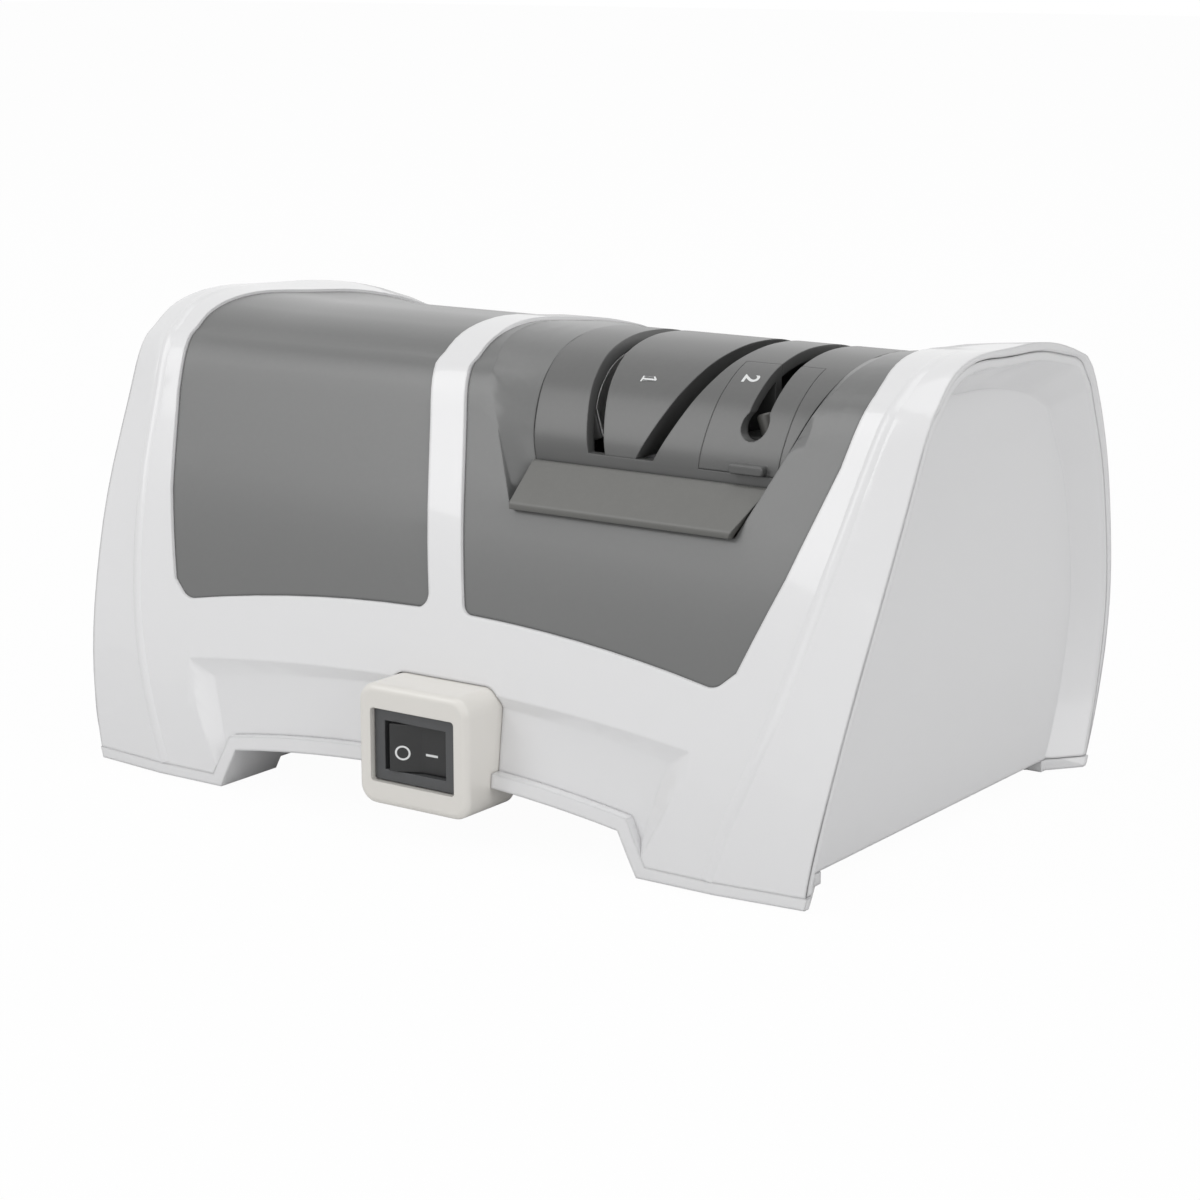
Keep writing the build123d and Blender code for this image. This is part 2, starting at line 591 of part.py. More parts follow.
def make_rocker():
    """Two-faced key seen from above, pressed in on its right side; the pin is its pivot."""
    half = ROCKER_SIZE[0] / 2
    face = half - 0.8
    outline = polygon((-face, -4.6), (0, -3.4), (face, -4.6), (face + 0.4, -2.0), (3.0, 2.6), (-3.0, 2.6),
                      (-face - 0.4, -2.0))
    key = Pos(0, 0, -ROCKER_SIZE[1] / 2) * extrude(outline, amount=ROCKER_SIZE[1])
    key += Cylinder(PIN_R, PIN_LENGTH)
    return Pos(SWITCH_X, PIVOT_Y, SWITCH_Z) * Rot(0, 0, ROCKER_TILT) * key


def make_terminals():
    blades = []
    for x in (-6.0, 0.0, 6.0):
        blades.append(block((SWITCH_X + x - 0.4, SWITCH_X + x + 0.4), (SWITCH_BACK_Y, SWITCH_BACK_Y + 7.5),
                            (SWITCH_Z - 3.1, SWITCH_Z + 3.1)))
    return Compound(children=blades)


# ---- motor and wheels --------------------------------------------------------------------------
CAN_WALL = 1.6
BELL_LENGTH = 7.0
CORE_R = 18.6
BUSH_R = 6.5
COUPLING_X = (-9.0, 11.0)
SHAFT_X = (-80.0, 0.8)
SPINDLE_X = (1.2, 60.0)


MOTOR_BUSHES = [(CAN_X[0] - 2.4, CAN_X[0] + 3.6), (CAN_X[1] - 2.4, CAN_X[1] + 2.5)]
SPINDLE_BUSHES = [(CHAMBER_X[0], CHAMBER_X[0] + 4.0), (CHAMBER_X[1] - 4.0, CHAMBER_X[1])]


def ring_x(outer, inner, x):
    return rod_x(outer, x) - rod_x(inner, (x[0] - 1, x[1] + 1))


def make_can():
    low, high = CAN_X
    can = rod_x(CAN_R, (low, high - BELL_LENGTH)) - rod_x(CAN_R - CAN_WALL, (low + CAN_WALL, high))
    can += ring_x(BUSH_R + 1.5, BUSH_R, (low - 2.4, low + 1))
    return can - rod_x(BUSH_R, (low - 5, low + 5))


def make_bell():
    high = CAN_X[1]
    bell = rod_x(CAN_R, (high - BELL_LENGTH, high)) - rod_x(CAN_R - 3.0, (high - BELL_LENGTH - 1, high - 2.4))
    bell += rod_x(CAN_R - CAN_WALL - 0.1, (high - BELL_LENGTH - 3.0, high - BELL_LENGTH + 1))
    bell -= rod_x(CAN_R - 4.4, (high - BELL_LENGTH - 5, high - 2.4))
    bell += ring_x(BUSH_R + 2.0, BUSH_R, (high - 2.4, high + 2.5))
    for side in (-1, 1):
        y = AXIS_Y + side * 15.5
        holder = block((high - 9.0, high - 2.0), (y - 6.0, y + 6.0), (AXIS_Z - 3.6, AXIS_Z + 3.6))
        bell += holder - block((high - 7.5, high - 3.5), (y - 9.0, y + 9.0), (AXIS_Z - 2.1, AXIS_Z + 2.1))
    return bell - rod_x(BUSH_R, (high - 20, high + 20))


def make_brushes():
    high = CAN_X[1]
    return Compound(children=[
        block((high - 7.4, high - 3.6), sorted((AXIS_Y + side * 8.1, AXIS_Y + side * 19.0)),
              (AXIS_Z - 2.0, AXIS_Z + 2.0)) for side in (-1, 1)])


def make_magnets():
    x = (CAN_X[0] + 8.0, CAN_X[1] - 14.0)
    ring = ring_x(CAN_R - CAN_WALL - 0.05, CORE_R + 0.7, x)
    gap = block(x, (AXIS_Y - 7, AXIS_Y + 7), (AXIS_Z - 40, AXIS_Z + 40))
    return Compound(children=list((ring - gap).solids()))


CORE_X = (CAN_X[0] + 10.0, CAN_X[1] - 16.0)
POLES = 7


def make_core():
    """Laminated rotor core with open winding slots."""
    core = rod_x(CORE_R, CORE_X)
    for i in range(POLES):
        slot = block(CORE_X, (-2.6, 2.6), (9.0, CORE_R - 2.0)) + block(CORE_X, (-0.9, 0.9), (9.0, CORE_R + 1))
        turned = Pos(0, AXIS_Y, AXIS_Z) * Rot(360.0 / POLES * i, 0, 0) * slot
        core -= turned
    return core - rod_x(SHAFT_R, CORE_X)


def make_windings():
    """Copper packs lying in the slots, with a ring of end turns at each end."""
    low, high = CORE_X
    coil = ring_x(16.0, 9.2, (low - 5.0, low - 0.05)) + ring_x(16.0, 9.2, (high + 0.05, high + 5.0))
    for i in range(POLES):
        pack = block((low - 1.0, high + 1.0), (-2.3, 2.3), (9.5, 15.8))
        coil += Pos(0, AXIS_Y, AXIS_Z) * Rot(360.0 / POLES * i, 0, 0) * pack
    return coil


def bushes(outer, bore, places):
    return Compound(children=[ring_x(outer, bore, x) for x in places])


def make_coupling():
    sleeve = ring_x(6.2, SPINDLE_R, (COUPLING_X[0], COUPLING_X[1]))
    sleeve -= ring_x(12, 5.4, (-2.0, 4.0))
    return sleeve + (ring_x(SPINDLE_R + 1, SHAFT_R, (COUPLING_X[0], SHAFT_X[1])))


def wheel(x, toward):
    """Grinding wheel; its outer face is cut back so the rim meets the leaning blade."""
    half = WHEEL_THICK / 2
    profile = polygon((-half, SPINDLE_R), (half, SPINDLE_R), (half, WHEEL_R - 4.5), (half - 4.5, WHEEL_R),
                      (-half, WHEEL_R))
    hub = polygon((-half - 3.0, SPINDLE_R), (-half + 0.1, SPINDLE_R), (-half + 0.1, 7.0), (-half - 3.0, 7.0))
    turned = revolve(Plane.XY * (profile + hub), Axis.X)
    return Pos(x, AXIS_Y, AXIS_Z) * (turned if toward > 0 else mirror(turned, Plane.YZ))


def make_wheel_spring():
    """Coil spring that holds the two wheels apart."""
    low = LEFT_WHEEL_X + WHEEL_THICK / 2 + 3.0
    high = RIGHT_WHEEL_X - WHEEL_THICK / 2 - 3.0
    turns, wire_r = 2.5, 0.5
    length = high - low - 2 * wire_r
    path = Helix(pitch=length / turns, height=length, radius=SPINDLE_R + 1.3)
    wire = sweep(Plane(origin=path @ 0, z_dir=path % 0) * Circle(wire_r), path=path)
    return Pos(low + wire_r, AXIS_Y, AXIS_Z) * Rot(0, 90, 0) * wire


def make_chamber():
    """Bracket with two uprights that hold the spindle's bushes."""
    y = (AXIS_Y - 26.0, AXIS_Y + 26.0)
    body = block(CHAMBER_X, y, (BRACKET_Z, BRACKET_Z + 2.4))
    for x in ((CHAMBER_X[0], CHAMBER_X[0] + 2.4), (CHAMBER_X[1] - 2.4, CHAMBER_X[1])):
        upright = side_view(polygon((y[0], BRACKET_Z), (y[1], BRACKET_Z), (AXIS_Y + 11, 66.0),
                                    (AXIS_Y - 11, 66.0)), *x)
        body += upright + rod_x(BUSH_R + 2.0, (x[0] - 0.0, x[1] + 0.0))
    return body - rod_x(BUSH_R, (0, 80))


def make_cradle():
    """Two saddles under the motor on a common plate."""
    body = block((CRADLE_X[0] - 5, CRADLE_X[1] + 5), (AXIS_Y - 24, AXIS_Y + 24), (BRACKET_Z, BRACKET_Z + 2.4))
    for x in CRADLE_X:
        body += block((x - 3, x + 3), (AXIS_Y - 22, AXIS_Y + 22), (BRACKET_Z, AXIS_Z - 12))
    return body - rod_x(CAN_R, (-90, 0))


def make_straps():
    """Sheet bands over the motor, with feet on the cradle."""
    straps = []
    for x in CRADLE_X:
        band = ring_x(CAN_R + 1.2, CAN_R, (x - 3, x + 3))
        band &= block((x - 4, x + 4), (AXIS_Y - 40, AXIS_Y + 40), (AXIS_Z - 12, AXIS_Z + 40))
        band = band + (block((x - 3, x + 3), (AXIS_Y - 30, AXIS_Y + 30), (AXIS_Z - 12, AXIS_Z - 10.8))
                       - rod_x(CAN_R, (-90, 0)))
        straps.append(band)
    return Compound(children=straps)


def make_leaf_springs():
    """Thin sheets on the outer walls of the coarse slots that press a blade against the wedge."""
    leaves = []
    for place, side in COARSE_SLOTS:
        leaf = slot_wall(place, side, (HALF_SLOT + 0.05, HALF_SLOT + 0.05 + LEAF_THICK), SLOT_WALL_Z + 0.4)
        length = (AXIS_Y - LEAF_LENGTH / 2, AXIS_Y + LEAF_LENGTH / 2)
        leaves.append(front_view(leaf, *length) & saddle_form(SADDLE_WALL + 0.1))
    return leaves


def make_board():
    """Rectifier board on two posts, and the parts soldered to it."""
    board = block((-52, -16), (98, 122), (18.0, 19.6))
    capacitor = rod_z(5.0, (19.65, 33.0), -42.0, 110.0)
    bridge = block((-32, -20), (106, 116), (19.65, 26.0))
    return board, Compound(children=[capacitor, bridge])


def make_feet():
    return Compound(children=[rod_z(5.0, (0.0, 1.6), x, y) for x, y in PAD_PLACES])


def make_inlet():
    """Rubber grommet in the back wall, where the mains lead goes in."""
    x, z = INLET
    y = REAR_BULGE_Y - 1.4
    def disc(radius, low, high):
        return Pos(x, (low + high) / 2, z) * Rot(90, 0, 0) * Cylinder(radius, high - low)
    body = disc(INLET_R - 0.15, y - 10.4, y + 0.4) + disc(INLET_R + 2.0, y - 10.4, y - 8.6)
    return body - disc(3.6, y - 20.0, y + 20.0)


def write(name, shape, colour):
    shape = Pos(0, -MIDDLE_Y, 0) * shape
    shape.label = name
    shape.color = COLOURS[colour]
    export_step(shape, f"parts/{name}.step")


def main():
    os.makedirs("parts", exist_ok=True)
    housing_room = plate((HOUSING_SIZE[0] + 0.3, HOUSING_SIZE[1] + 0.3), (-12.0, HOUSING_BACK_Y + 0.3), radius=4.0)
    inlet_x, inlet_z = INLET
    inlet_hole = Pos(inlet_x, REAR_BULGE_Y, inlet_z) * Rot(90, 0, 0) * Cylinder(INLET_R, 20)
    body_room = plate((SWITCH_BODY_SIZE[0] + 0.6, SWITCH_BODY_SIZE[1] + 0.6), (0.0, SWITCH_BACK_Y + 9.0))
    casing = make_casing() + screw_posts() - housing_room - inlet_hole
    base = make_base() - housing_room - body_room
    left_cover, right_cover = make_covers()
    cap = end_cap()
    write("casing", casing, "white")
    write("base", base, "white")
    write("left_cover", left_cover, "grey")
    write("right_cover", right_cover, "grey")
    write("right_end_cap", cap, "white")
    write("left_end_cap", mirror(cap, Plane.YZ), "white")
    write("guide_saddle", make_saddle(), "grey")
    write("coarse_wedge", make_wedge(), "grey")
    write("fine_cartridge", make_cartridge(), "grey")
    write("ceramic_rods", Compound(children=[ceramic_rod(-1, -0.02), ceramic_rod(1, -0.02)]), "white")
    write("knife_ledge", make_ledge(), "grey")
    write("blade_springs", Compound(children=make_leaf_springs()), "metal")
    write("switch_housing", make_switch_housing(), "white")
    write("switch_body", make_switch_body(), "dark")
    write("switch_rocker", make_rocker(), "dark")
    write("switch_terminals", make_terminals(), "metal")
    write("motor_can", make_can(), "metal")
    write("motor_end_bell", make_bell(), "dark")
    write("motor_magnets", make_magnets(), "dark")
    write("motor_bushes", bushes(BUSH_R, SHAFT_R + RUNNING_GAP, MOTOR_BUSHES), "metal")
    write("motor_brushes", make_brushes(), "dark")
    write("motor_cradle", make_cradle(), "dark")
    write("motor_straps", make_straps(), "metal")
    write("rotor_core", make_core(), "metal")
    write("rotor_windings", make_windings(), "metal")
    write("commutator", ring_x(8.0, SHAFT_R, (CAN_X[1] - 8.6, CAN_X[1] - 3.0)), "metal")
    write("motor_shaft", rod_x(SHAFT_R, SHAFT_X), "metal")
    write("shaft_coupling", make_coupling(), "dark")
    write("wheel_spindle", rod_x(SPINDLE_R, SPINDLE_X), "metal")
    write("left_wheel", wheel(LEFT_WHEEL_X, -1), "metal")
    write("right_wheel", wheel(RIGHT_WHEEL_X, 1), "metal")
    write("wheel_spring", make_wheel_spring(), "metal")
    write("wheel_bracket", make_chamber(), "white")
    write("spindle_bushes", bushes(BUSH_R, SPINDLE_R + RUNNING_GAP, SPINDLE_BUSHES), "metal")
    board, board_parts = make_board()
    write("rectifier_board", board, "dark")
    write("board_components", board_parts, "dark")
    write("rubber_feet", make_feet(), "dark")
    write("base_screws", Compound(children=[screw(x, y, 1.0, 13.0) for x, y in SCREW_PLACES]), "metal")
    write("inlet_grommet", make_inlet(), "dark")


main()
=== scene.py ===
"""Electric knife sharpener: finer forms, finishes, printed marks, light and camera around the frame."""
import json
import logging
import math
from collections.abc import Sequence
from dataclasses import dataclass
from enum import Enum
from typing import Optional

import bmesh
import bpy
import numpy as np
from mathutils import Matrix, Vector

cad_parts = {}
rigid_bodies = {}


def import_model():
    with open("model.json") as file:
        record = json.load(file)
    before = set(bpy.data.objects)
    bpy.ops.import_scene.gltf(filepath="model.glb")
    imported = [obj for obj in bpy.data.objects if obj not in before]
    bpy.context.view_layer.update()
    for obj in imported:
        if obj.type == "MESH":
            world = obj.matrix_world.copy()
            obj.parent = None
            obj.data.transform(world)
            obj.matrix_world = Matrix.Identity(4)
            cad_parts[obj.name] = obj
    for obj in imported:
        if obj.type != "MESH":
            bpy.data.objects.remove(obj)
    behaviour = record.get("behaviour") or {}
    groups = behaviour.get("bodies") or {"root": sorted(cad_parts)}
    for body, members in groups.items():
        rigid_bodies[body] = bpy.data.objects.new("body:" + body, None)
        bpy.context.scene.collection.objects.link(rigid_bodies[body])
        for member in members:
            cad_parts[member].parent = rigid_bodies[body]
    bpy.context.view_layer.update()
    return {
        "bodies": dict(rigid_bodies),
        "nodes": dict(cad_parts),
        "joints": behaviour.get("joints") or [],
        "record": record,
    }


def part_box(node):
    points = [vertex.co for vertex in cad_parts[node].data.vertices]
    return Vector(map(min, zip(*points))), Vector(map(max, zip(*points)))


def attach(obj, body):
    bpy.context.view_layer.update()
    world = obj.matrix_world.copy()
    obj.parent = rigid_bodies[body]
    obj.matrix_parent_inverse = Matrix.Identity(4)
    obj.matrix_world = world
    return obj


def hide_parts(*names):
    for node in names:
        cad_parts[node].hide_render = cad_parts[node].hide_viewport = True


Pair = tuple[float, float]
Triple = tuple[float, float, float]
Outline = Sequence[Pair]  # points in millimetres
Line2 = tuple[Pair, Pair]
Sides = tuple[Line2, Line2]
Shape = bmesh.types.BMesh
Piece = bpy.types.Object
Tree = bpy.types.NodeTree
Output = bpy.types.NodeSocket

LOG = logging.getLogger("sharpener")
MM = 0.001
DUST_COLOUR = (0.62, 0.61, 0.58)
EDGE_LIGHTENS = (1.5, 0.05)  # factor and offset of a convex edge's lightened colour
PRINT_THICKNESS = 0.04 * MM
FONT_SIZE = 1.4  # a figure's font size by its height
FONT_WEIGHT = 0.025  # and how much its strokes are widened
BAR_ROUND = 0.2  # a bar's corner radius by its smaller side


# ---- shader building blocks
def new_group(name: str, values: dict[str, float], outputs: tuple[str, ...]) -> tuple:
    """Make an empty shader group that takes a place and some values and gives values.

    Args:
        name: name of the group.
        values: default of each value.
        outputs: the values that it gives.

    Returns:
        The group, its input node and its output node.
    """
    group = bpy.data.node_groups.new(name, "ShaderNodeTree")
    group.interface.new_socket("Vector", in_out="INPUT", socket_type="NodeSocketVector")
    for label, default in values.items():
        socket = group.interface.new_socket(label, in_out="INPUT", socket_type="NodeSocketFloat")
        socket.default_value = default
    for label in outputs:
        group.interface.new_socket(label, in_out="OUTPUT", socket_type="NodeSocketFloat")
    return group, group.nodes.new("NodeGroupInput"), group.nodes.new("NodeGroupOutput")


def math_node(tree: Tree, operation: str, first: object, second: object) -> Output:
    """Add a Math node whose operands are sockets or plain numbers.

    Args:
        tree: where the node goes.
        operation: the node's operation.
        first: its first operand.
        second: its second operand.

    Returns:
        The node's output.
    """
    node = tree.nodes.new("ShaderNodeMath")
    node.operation = operation
    for socket, operand in zip(node.inputs, (first, second)):
        if isinstance(operand, Output):
            tree.links.new(operand, socket)
        else:
            socket.default_value = operand
    return node.outputs[0]


def noise(tree: Tree, vector: Output, scale: object, detail: float) -> Output:
    """Add a Noise Texture.

    Args:
        tree: where the node goes.
        vector: place that it is read at.
        scale: a socket or a plain number.
        detail: its detail.

    Returns:
        The socket with its value.
    """
    node = tree.nodes.new("ShaderNodeTexNoise")
    node.inputs["Detail"].default_value = detail
    tree.links.new(vector, node.inputs["Vector"])
    if isinstance(scale, Output):
        tree.links.new(scale, node.inputs["Scale"])
    else:
        node.inputs["Scale"].default_value = scale
    return node.outputs["Fac"]


class SurfaceGroups:
    """The shader groups that the finishes share; each is built once."""

    COARSE_GRAIN = (0.3, 0.6)  # scale and height of the second grain, by the first's
    EDGE_GAIN = 14.0  # how fast the edge lightening rises with the edge's sharpness
    SPECK_SCALE = 900.0  # dust specks per metre
    SPECK_POWER = 3.0  # how sparse they are

    def __init__(self) -> None:
        """Build every group."""
        self.grain = self._grain()
        self.edge = self._edge()
        self.dust = self._dust()

    def _grain(self) -> Tree:
        """Moulded grain: a height, and a slow variation of the surface.

        Returns:
            The group.
        """
        group, start, end = new_group("moulded_grain", {"Scale": 4000.0, "Blotch Scale": 40.0},
                                      ("Height", "Blotch"))
        vector = start.outputs["Vector"]
        fine = noise(group, vector, start.outputs["Scale"], 2.0)
        scale, height = self.COARSE_GRAIN
        coarse = noise(group, vector, math_node(group, "MULTIPLY", start.outputs["Scale"], scale), 1.0)
        group.links.new(math_node(group, "ADD", fine, math_node(group, "MULTIPLY", coarse, height)),
                        end.inputs["Height"])
        group.links.new(noise(group, vector, start.outputs["Blotch Scale"], 3.0), end.inputs["Blotch"])
        return group

    def _edge(self) -> Tree:
        """Mask that rises on convex edges, from the mesh's pointiness.

        Returns:
            The group.
        """
        group, start, end = new_group("edge_lightening", {"Start": 0.52, "Breakup": 300.0}, ("Mask",))
        geometry = group.nodes.new("ShaderNodeNewGeometry")
        above = math_node(group, "SUBTRACT", geometry.outputs["Pointiness"], start.outputs["Start"])
        rough = noise(group, start.outputs["Vector"], start.outputs["Breakup"], 4.0)
        steep = math_node(group, "MULTIPLY", above, self.EDGE_GAIN)
        masked = math_node(group, "MULTIPLY", steep, rough)
        node = group.nodes.new("ShaderNodeClamp")
        group.links.new(masked, node.inputs["Value"])
        group.links.new(node.outputs[0], end.inputs["Mask"])
        return group

    def _dust(self) -> Tree:
        """Mask of fine dust lying on what faces up.

        Returns:
            The group.
        """
        group, start, end = new_group("settled_dust", {"Amount": 0.1}, ("Mask",))
        geometry = group.nodes.new("ShaderNodeNewGeometry")
        split = group.nodes.new("ShaderNodeSeparateXYZ")
        group.links.new(geometry.outputs["Normal"], split.inputs[0])
        up = math_node(group, "MAXIMUM", split.outputs["Z"], 0.0)
        specks = math_node(group, "POWER", noise(group, start.outputs["Vector"], self.SPECK_SCALE, 6.0),
                           self.SPECK_POWER)
        lying = math_node(group, "MULTIPLY", up, specks)
        group.links.new(math_node(group, "MULTIPLY", lying, start.outputs["Amount"]), end.inputs["Mask"])
        return group


# ---- finishes
@dataclass(frozen=True)
class Finish:
    """One finish of the sharpener.

    Args:
        colour: base colour, linear.
        roughness: roughness of the clean surface.
        metallic: 1 for bare metal.
        coat: weight of the clear, glossy skin.
        coat_roughness: roughness of that skin.
        grain_scale: moulded grain, in cells per metre.
        grain_depth: height of the grain, in metres.
        blotch: how much the roughness and colour wander.
        edge_lift: how much lighter convex edges are made.
        dust: how much dust lies on upward faces.
        softness: radius of the moulded edges, in millimetres.
    """

    colour: Triple
    roughness: float = 0.4
    metallic: float = 0.0
    coat: float = 0.0
    coat_roughness: float = 0.05
    grain_scale: float = 4000.0
    grain_depth: float = 0.000004
    blotch: float = 0.05
    edge_lift: float = 0.1
    dust: float = 0.05
    softness: float = 0.3

    def material(self, name: str, groups: SurfaceGroups) -> bpy.types.Material:
        """Build the material.

        Args:
            name: name of the material.
            groups: the shared shader groups.

        Returns:
            The material.
        """
        material = bpy.data.materials.new(name)
        material.use_nodes = True
        tree = material.node_tree
        shader = tree.nodes["Principled BSDF"]
        shader.inputs["Metallic"].default_value = self.metallic
        shader.inputs["Coat Weight"].default_value = self.coat
        shader.inputs["Coat Roughness"].default_value = self.coat_roughness
        place = tree.nodes.new("ShaderNodeTexCoord").outputs["Object"]

        grain = self._group(tree, groups.grain, place)
        grain.inputs["Scale"].default_value = self.grain_scale
        edge = self._group(tree, groups.edge, place)
        dust = self._group(tree, groups.dust, place)
        dust.inputs["Amount"].default_value = self.dust

        wander = math_node(tree, "SUBTRACT", grain.outputs["Blotch"], 0.5)
        shade = math_node(tree, "ADD", math_node(tree, "MULTIPLY", wander, self.blotch), 1.0)
        tone = tree.nodes.new("ShaderNodeHueSaturation")
        tone.inputs["Color"].default_value = (*self.colour, 1.0)
        tree.links.new(shade, tone.inputs["Value"])
        factor, offset = EDGE_LIGHTENS
        # convex edges, found from the mesh's pointiness, are made lighter here
        lightened = self._mix(tree, math_node(tree, "MULTIPLY", edge.outputs["Mask"], self.edge_lift),
                           tone.outputs["Color"], tuple(min(1.0, c * factor + offset) for c in self.colour))
        dusty = self._mix(tree, dust.outputs["Mask"], lightened, DUST_COLOUR)
        tree.links.new(dusty, shader.inputs["Base Color"])

        rough = math_node(tree, "ADD", math_node(tree, "MULTIPLY", wander, 2.0 * self.blotch), self.roughness)
        tree.links.new(math_node(tree, "ADD", rough, dust.outputs["Mask"]), shader.inputs["Roughness"])

        soft = tree.nodes.new("ShaderNodeBevel")
        soft.samples = 4
        soft.inputs["Radius"].default_value = self.softness * MM
        bump = tree.nodes.new("ShaderNodeBump")
        bump.inputs["Distance"].default_value = self.grain_depth
        tree.links.new(soft.outputs["Normal"], bump.inputs["Normal"])
        tree.links.new(grain.outputs["Height"], bump.inputs["Height"])
        tree.links.new(bump.outputs["Normal"], shader.inputs["Normal"])
        return material

    @staticmethod
    def _group(tree: Tree, group: Tree, place: Output) -> bpy.types.Node:
        """Place one shared group, fed with the surface's own place.

        Args:
            tree: the material's tree.
            group: the shared group.
            place: the place socket.

        Returns:
            The new node.
        """
        node = tree.nodes.new("ShaderNodeGroup")
        node.node_tree = group
        tree.links.new(place, node.inputs["Vector"])
        return node

    @staticmethod
    def _mix(tree: Tree, factor: Output, base: Output, over: Triple) -> Output:
        """Mix a plain colour over a colour socket.

        Args:
            tree: the material's tree.
            factor: how much of the plain colour shows.
            base: the colour below.
            over: the plain colour.

        Returns:
            The mixed colour.
        """
        node = tree.nodes.new("ShaderNodeMix")
        node.data_type = "RGBA"
        tree.links.new(factor, node.inputs["Factor"])
        tree.links.new(base, node.inputs["A"])
        node.inputs["B"].default_value = (*over, 1.0)
        return node.outputs["Result"]


FINISHES: dict[str, Finish] = {
    "white_casing": Finish((0.772, 0.772, 0.779), 0.3, coat=0.5, grain_scale=600.0, grain_depth=0.000002,
                           blotch=0.008, edge_lift=0.0, dust=0.0, softness=0.9),
    "warm_white": Finish((0.76, 0.74, 0.7), 0.34, coat=0.25, coat_roughness=0.15, grain_scale=900.0,
                         grain_depth=0.000003, blotch=0.02, edge_lift=0.0, dust=0.02),
    "grey_cover": Finish((0.118, 0.12, 0.119), 0.42, coat=0.6, coat_roughness=0.26, grain_scale=5200.0,
                         grain_depth=0.000008, blotch=0.03, edge_lift=0.04, softness=0.7),
    "grey_guide": Finish((0.08, 0.081, 0.08), 0.42, coat=0.45, coat_roughness=0.26, grain_scale=5200.0,
                         grain_depth=0.000006, blotch=0.03, softness=0.5),
    "ledge_grey": Finish((0.118, 0.118, 0.111), 0.45, coat=0.3, coat_roughness=0.35, grain_scale=5200.0,
                         grain_depth=0.000008, blotch=0.04, softness=0.5),
    "switch_black": Finish((0.075, 0.077, 0.08), 0.38, grain_scale=7000.0, grain_depth=0.000005),
    "rocker_black": Finish((0.024, 0.0245, 0.025), 0.34, grain_scale=7000.0, grain_depth=0.000003),
    "ceramic": Finish((0.13, 0.128, 0.12), 0.45),
    "spring_steel": Finish((0.6, 0.6, 0.6), 0.3, metallic=1.0, grain_depth=0.000002),
    "brass": Finish((0.75, 0.58, 0.28), 0.35, metallic=1.0),
    "zinc_steel": Finish((0.6, 0.61, 0.63), 0.38, metallic=1.0, blotch=0.15),
    "black_nylon": Finish((0.03, 0.03, 0.032), 0.5),
    "ferrite": Finish((0.05, 0.05, 0.055), 0.7),
    "bronze": Finish((0.5, 0.36, 0.2), 0.5, metallic=1.0),
    "carbon": Finish((0.03, 0.03, 0.03), 0.6),
    "lamination_steel": Finish((0.38, 0.39, 0.41), 0.45, metallic=1.0),
    "copper": Finish((0.72, 0.36, 0.2), 0.35, metallic=1.0),
    "ground_steel": Finish((0.65, 0.66, 0.67), 0.25, metallic=1.0),
    "coupling_rubber": Finish((0.04, 0.04, 0.04), 0.7),
    "diamond_grit": Finish((0.3, 0.3, 0.31), 0.6, metallic=0.6, grain_scale=9000.0, grain_depth=0.00004,
                           blotch=0.2),
    "white_frame": Finish((0.7, 0.7, 0.68), 0.5),
    "board_green": Finish((0.03, 0.16, 0.06), 0.4),
    "component_black": Finish((0.03, 0.03, 0.03), 0.45),
    "foot_rubber": Finish((0.06, 0.06, 0.065), 0.75, grain_scale=3000.0, grain_depth=0.00001),
    "print_white": Finish((0.75, 0.76, 0.76), 0.5, grain_depth=0.000002, edge_lift=0.0),
}


class PaintShop:
    """Makes each finish once and lays it on nodes and pieces."""

    def __init__(self) -> None:
        """Build the shared groups."""
        self.groups = SurfaceGroups()
        self.made: dict[str, bpy.types.Material] = {}

    def finish(self, name: str) -> bpy.types.Material:
        """The material of one finish.

        Args:
            name: name of the finish.

        Returns:
            The material, made at its first use.
        """
        if name not in self.made:
            self.made[name] = FINISHES[name].material(name, self.groups)
        return self.made[name]

    def coat(self, piece: Piece, name: str) -> None:
        """Put one finish on all of a piece.

        Args:
            piece: the piece.
            name: name of the finish.
        """
        slots = piece.data.materials
        if not slots:
            slots.append(self.finish(name))
        for index in range(len(slots)):
            slots[index] = self.finish(name)

    @staticmethod
    def slot_of(frame: dict, node: str) -> str:
        """The record's material slot of one node."""
        return next(row["material_slot"] for row in frame["record"]["subparts"] if row["node"] == node)

    def coat_frame(self, frame: dict) -> None:
        """Finish every node of the frame from the record's slots.

        Args:
            frame: the loaded frame.
        """
        for row in frame["record"]["subparts"]:
            self.coat(frame["nodes"][row["node"]], row["material_slot"])
        LOG.info("coated %d nodes", len(frame["nodes"]))


# ---- outer form
MODEL_Y = 63.75  # model Y of the frame's own Y = 0, in millimetres
FRONT_FOOT = ((0.0, 0.0), (1.2, 20.6), (6.2, 41.2), (13.7, 61.8))  # the lower front, as (y, z)
REAR_FOOT = ((134.9, 37.0), (132.9, 23.5), (129.6, 12.0), (124.5, 0.0))  # and the lower rear
SHARP_TURN = 28.0  # edges that turn by more degrees than this stay sharp
CORNER_SHARE = 0.4  # share of a side that one rounded corner may take
ABOVE = 105.0  # a height above everything, in millimetres
THROUGH = (5.0, 130.0)  # depths between which a cut runs through the saddle
CUT_WELD = 0.001 * MM  # points nearer than this are one after a cut
CUT_SLACK = 0.00001 * MM  # points nearer than this to a cutting plane lie on it


def to_frame(x: float, y: float, z: float) -> Vector:
    """A point of the model, in millimetres, as a place in the frame."""
    return Vector((x, y - MODEL_Y, z)) * MM


def new_object(name: str, data: bpy.types.ID) -> Piece:
    """Put an object with some data into the scene.

    Args:
        name: name of the object.
        data: its mesh, curve, light or camera.

    Returns:
        The object.
    """
    thing = bpy.data.objects.new(name, data)
    bpy.context.scene.collection.objects.link(thing)
    return thing


